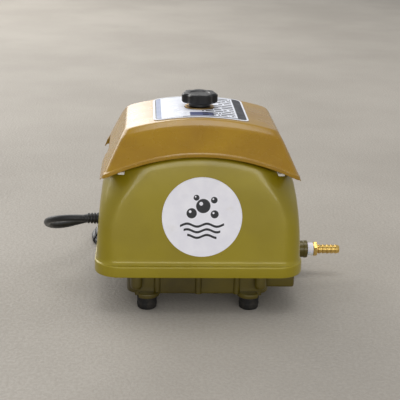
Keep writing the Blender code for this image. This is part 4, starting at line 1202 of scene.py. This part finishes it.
def make_strain_relief():
    """A locking shoulder inside the wall, then four ribs that get smaller, and a snug end."""
    outside = 0.1128 + GAP
    points = [(0.0, 0.1045), (0.0068, 0.1045), (0.0072, 0.1053), (0.0072, 0.1086)]
    points += [(0.0056, 0.1086), (0.0056, outside)]
    pitch = (0.1275 - outside) / 4
    for rib in range(4):
        radius = 0.0066 - 0.0002 * rib
        start = outside + rib * pitch
        points += [(radius, start), (radius, start + pitch * 0.62)]
        points += [(radius - 0.0013, start + pitch * 0.72), (radius - 0.0013, start + pitch)]
    points += [(0.0047, 0.1283), (0.0045, 0.1297), (0.0, 0.1297)]
    profile = [(radius, -x) for radius, x in rounded_profile(points, 0.0003)]
    mesh = to_mesh(along_x(revolve(profile, 40)), "relief")
    at = (0, 0, CORD_Z)
    piece("relief_bush", mesh, "cord_jacket", "casing", ["strain_relief"], at)


def make_plug():
    """A moulded plug with a ribbed boot, finger grips, two flat blades and a round earth pin."""
    sections = [(0.0000, 0.36, 0.0004), (0.0016, 0.37, 0.0003)]
    for rib in range(6):
        start = 0.0026 + rib * 0.0031
        grow = 0.37 + 0.018 * rib
        sections += [(start, grow, 0.0002), (start + 0.0004, grow + 0.05, 0.0003)]
        sections += [(start + 0.0014, grow + 0.05, 0.0003), (start + 0.0018, grow, 0.0002)]
    sections += [(0.0225, 0.50, 0.002), (0.0262, 0.80, 0.002), (0.0305, 0.98, 0.002)]
    for groove in range(4):
        start = 0.0345 + groove * 0.0036
        sections += [(start, 0.99, 0.0003), (start + 0.0005, 0.95, 0.0003)]
        sections += [(start + 0.0016, 0.95, 0.0003), (start + 0.0021, 0.99, 0.0003)]
    sections += [(0.0560, 1.00, 0.0004), (0.0575, 0.94, 0.0004), (0.0576, 0.30, 0.0)]
    shape = outline(0.0125, 0.0125, 0.005, 8, 4, 4)
    rings = []
    for along, scale in soften(sections, 3):
        rings.append([(along, y * scale, z * scale) for y, z in shape])
    spot = plug_start() - BODY
    nodes = ["power_plug"]
    mesh = to_mesh(skin(rings), "plug")
    body = piece("plug_body", mesh, "cord_jacket", "casing", nodes, spot)
    base = to_mesh(block((0.0560, -0.0071, 0.0005), (0.0735, -0.0056, 0.0069), 0.0005), "pins")
    steps = [("UNION", block((0.0560, 0.0056, 0.0005), (0.0735, 0.0071, 0.0069), 0.0005))]
    steps.append(("UNION", bar(0.0024, (0.0560, 0, -0.0070), (0.0750, 0, -0.0070), 28)))
    tip = bmesh.new()
    bmesh.ops.create_uvsphere(tip, u_segments=28, v_segments=14, radius=0.0024)
    steps.append(("UNION", moved(tip, (0.0745, 0, -0.0070))))
    steps.append(("DIFFERENCE", bar(0.0015, (0.0700, -0.01, 0.0037), (0.0700, 0.01, 0.0037), 20)))
    mesh = combine(base, steps)
    pins = piece("plug_pins", mesh, "plated_steel", "casing", nodes, spot)
    body.rotation_euler.z = pins.rotation_euler.z = PLUG_TURN
    return [body, pins]


TIE_ANGLE = math.radians(200)


def make_tie():
    """A flat plastic tie with its head, drawn tight round the coil's five turns."""
    outward = Vector((*polar(1, TIE_ANGLE), 0))
    aside = Vector((-outward.y, outward.x, 0))
    middle_of_coil = Vector((COIL.x, COIL.y, 0))

    def place(out, side, up):
        return middle_of_coil + outward * out + aside * side + Vector((0, 0, max(up, 0.00005)))

    inner = CORD_RADIUS - 0.0003
    outer = CORD_RADIUS + 0.0009
    section = [(inner, -0.0021), (outer - 0.0003, -0.0022), (outer, -0.0018)]
    section += [(outer, 0.0018), (outer - 0.0003, 0.0022), (inner, 0.0021)]
    bm = bmesh.new()
    rings = []
    for angle in angles(72):
        way = Vector(polar(1, angle))
        turn = max((Vector(t) for t in TURN_RADII), key=lambda t: t.dot(way))
        spots = [(turn + way * reach, side) for reach, side in section]
        rings.append([bm.verts.new(place(spot.x, side, spot.y)) for spot, side in spots])
    for ring, after in zip(rings, rings[1:] + rings[:1]):
        for k in range(len(section)):
            bm.faces.new((ring[k], after[k], after[k - 1], ring[k - 1]))
    bmesh.ops.recalc_face_normals(bm, faces=bm.faces)
    top = LAYER_HIGH + outer
    head = block((0.0432, -0.0031, top - 0.0006), (0.0482, 0.0031, top + 0.0027), 0.0006)
    tail = block((0.0400, -0.0018, top + 0.0004), (0.0520, 0.0018, top + 0.0015), 0.0003)
    steps = [("UNION", bent(part, lambda p: place(*p))) for part in (tail, head)]
    mesh = combine(to_mesh(bm, "tie"), steps)
    return piece("coil_tie", mesh, "knob_plastic", "casing", ["cord_coil"])


CORD, CORD_LENGTH = make_cord()
make_strain_relief()
ON_THE_CORD = [*make_plug(), make_tie()]
make_housing()
make_cover()
make_label()
make_felt()
make_pads()
make_knob()
make_washer()
make_badge()
make_tank()
make_feet()
make_outlet()


# What keeps its CAD mesh


def dress_cad_nodes():
    """Give every CAD node that still shows the material of its slot."""
    finer = {"black_plastic": "cord_jacket", "steel": "sheet_steel"}
    plated = ("case_screw", "diaphragm_nut", "knob_stud")
    for part in frame["record"]["subparts"]:
        node = frame["nodes"][part["node"]]
        if node.hide_render:
            continue
        slot = part["material_slot"]
        material = "plated_steel" if part["node"].startswith(plated) else finer.get(slot, slot)
        node.data.materials.clear()
        node.data.materials.append(MATERIALS[material])


dress_cad_nodes()


# The floor and the light


def make_floor():
    bm = bmesh.new()
    bmesh.ops.create_grid(bm, x_segments=1, y_segments=1, size=9)
    floor = bpy.data.objects.new("floor", to_mesh(bm, "floor"))
    floor.data.materials.append(floor_material())
    bpy.context.scene.collection.objects.link(floor)


def area_light(name, place, size, power, colour, target=(0, 0, 0.11)):
    data = bpy.data.lights.new(name, "AREA")
    data.shape = "RECTANGLE"
    data.size, data.size_y = size
    data.energy = power
    data.color = colour
    light = bpy.data.objects.new(name, data)
    light.location = place
    light.visible_camera = False
    light.rotation_euler = (Vector(target) - Vector(place)).to_track_quat("-Z", "Y").to_euler()
    bpy.context.scene.collection.objects.link(light)


def make_world():
    """An even studio dome, a little dimmer overhead than at the horizon."""
    world = bpy.data.worlds.new("studio")
    world.use_nodes = True
    tree = world.node_tree
    background = tree.nodes["Background"]
    coordinates = tree.nodes.new("ShaderNodeTexCoord")
    parts = tree.nodes.new("ShaderNodeSeparateXYZ")
    ramp = tree.nodes.new("ShaderNodeValToRGB")
    tree.links.new(coordinates.outputs["Generated"], parts.inputs[0])
    tree.links.new(parts.outputs[2], ramp.inputs[0])
    horizon, overhead = ramp.color_ramp.elements
    horizon.position, horizon.color = 0.0, (0.86, 0.86, 0.86, 1)
    overhead.position, overhead.color = 0.9, (0.80, 0.81, 0.83, 1)
    tree.links.new(ramp.outputs[0], background.inputs["Color"])
    background.inputs["Strength"].default_value = 0.6
    bpy.context.scene.world = world


make_floor()
make_world()
bpy.context.scene.view_settings.view_transform = "Standard"
area_light("sky", (-1.5, 2.3, 1.5), (3.2, 2.0), 72, (1.0, 0.985, 0.96))
area_light("overhead", (0.1, 0.2, 2.3), (1.6, 1.2), 18, (1.0, 1.0, 1.0))
area_light("front", (0.1, -2.6, 0.85), (3.2, 0.5), 25, (1.0, 1.0, 1.0))
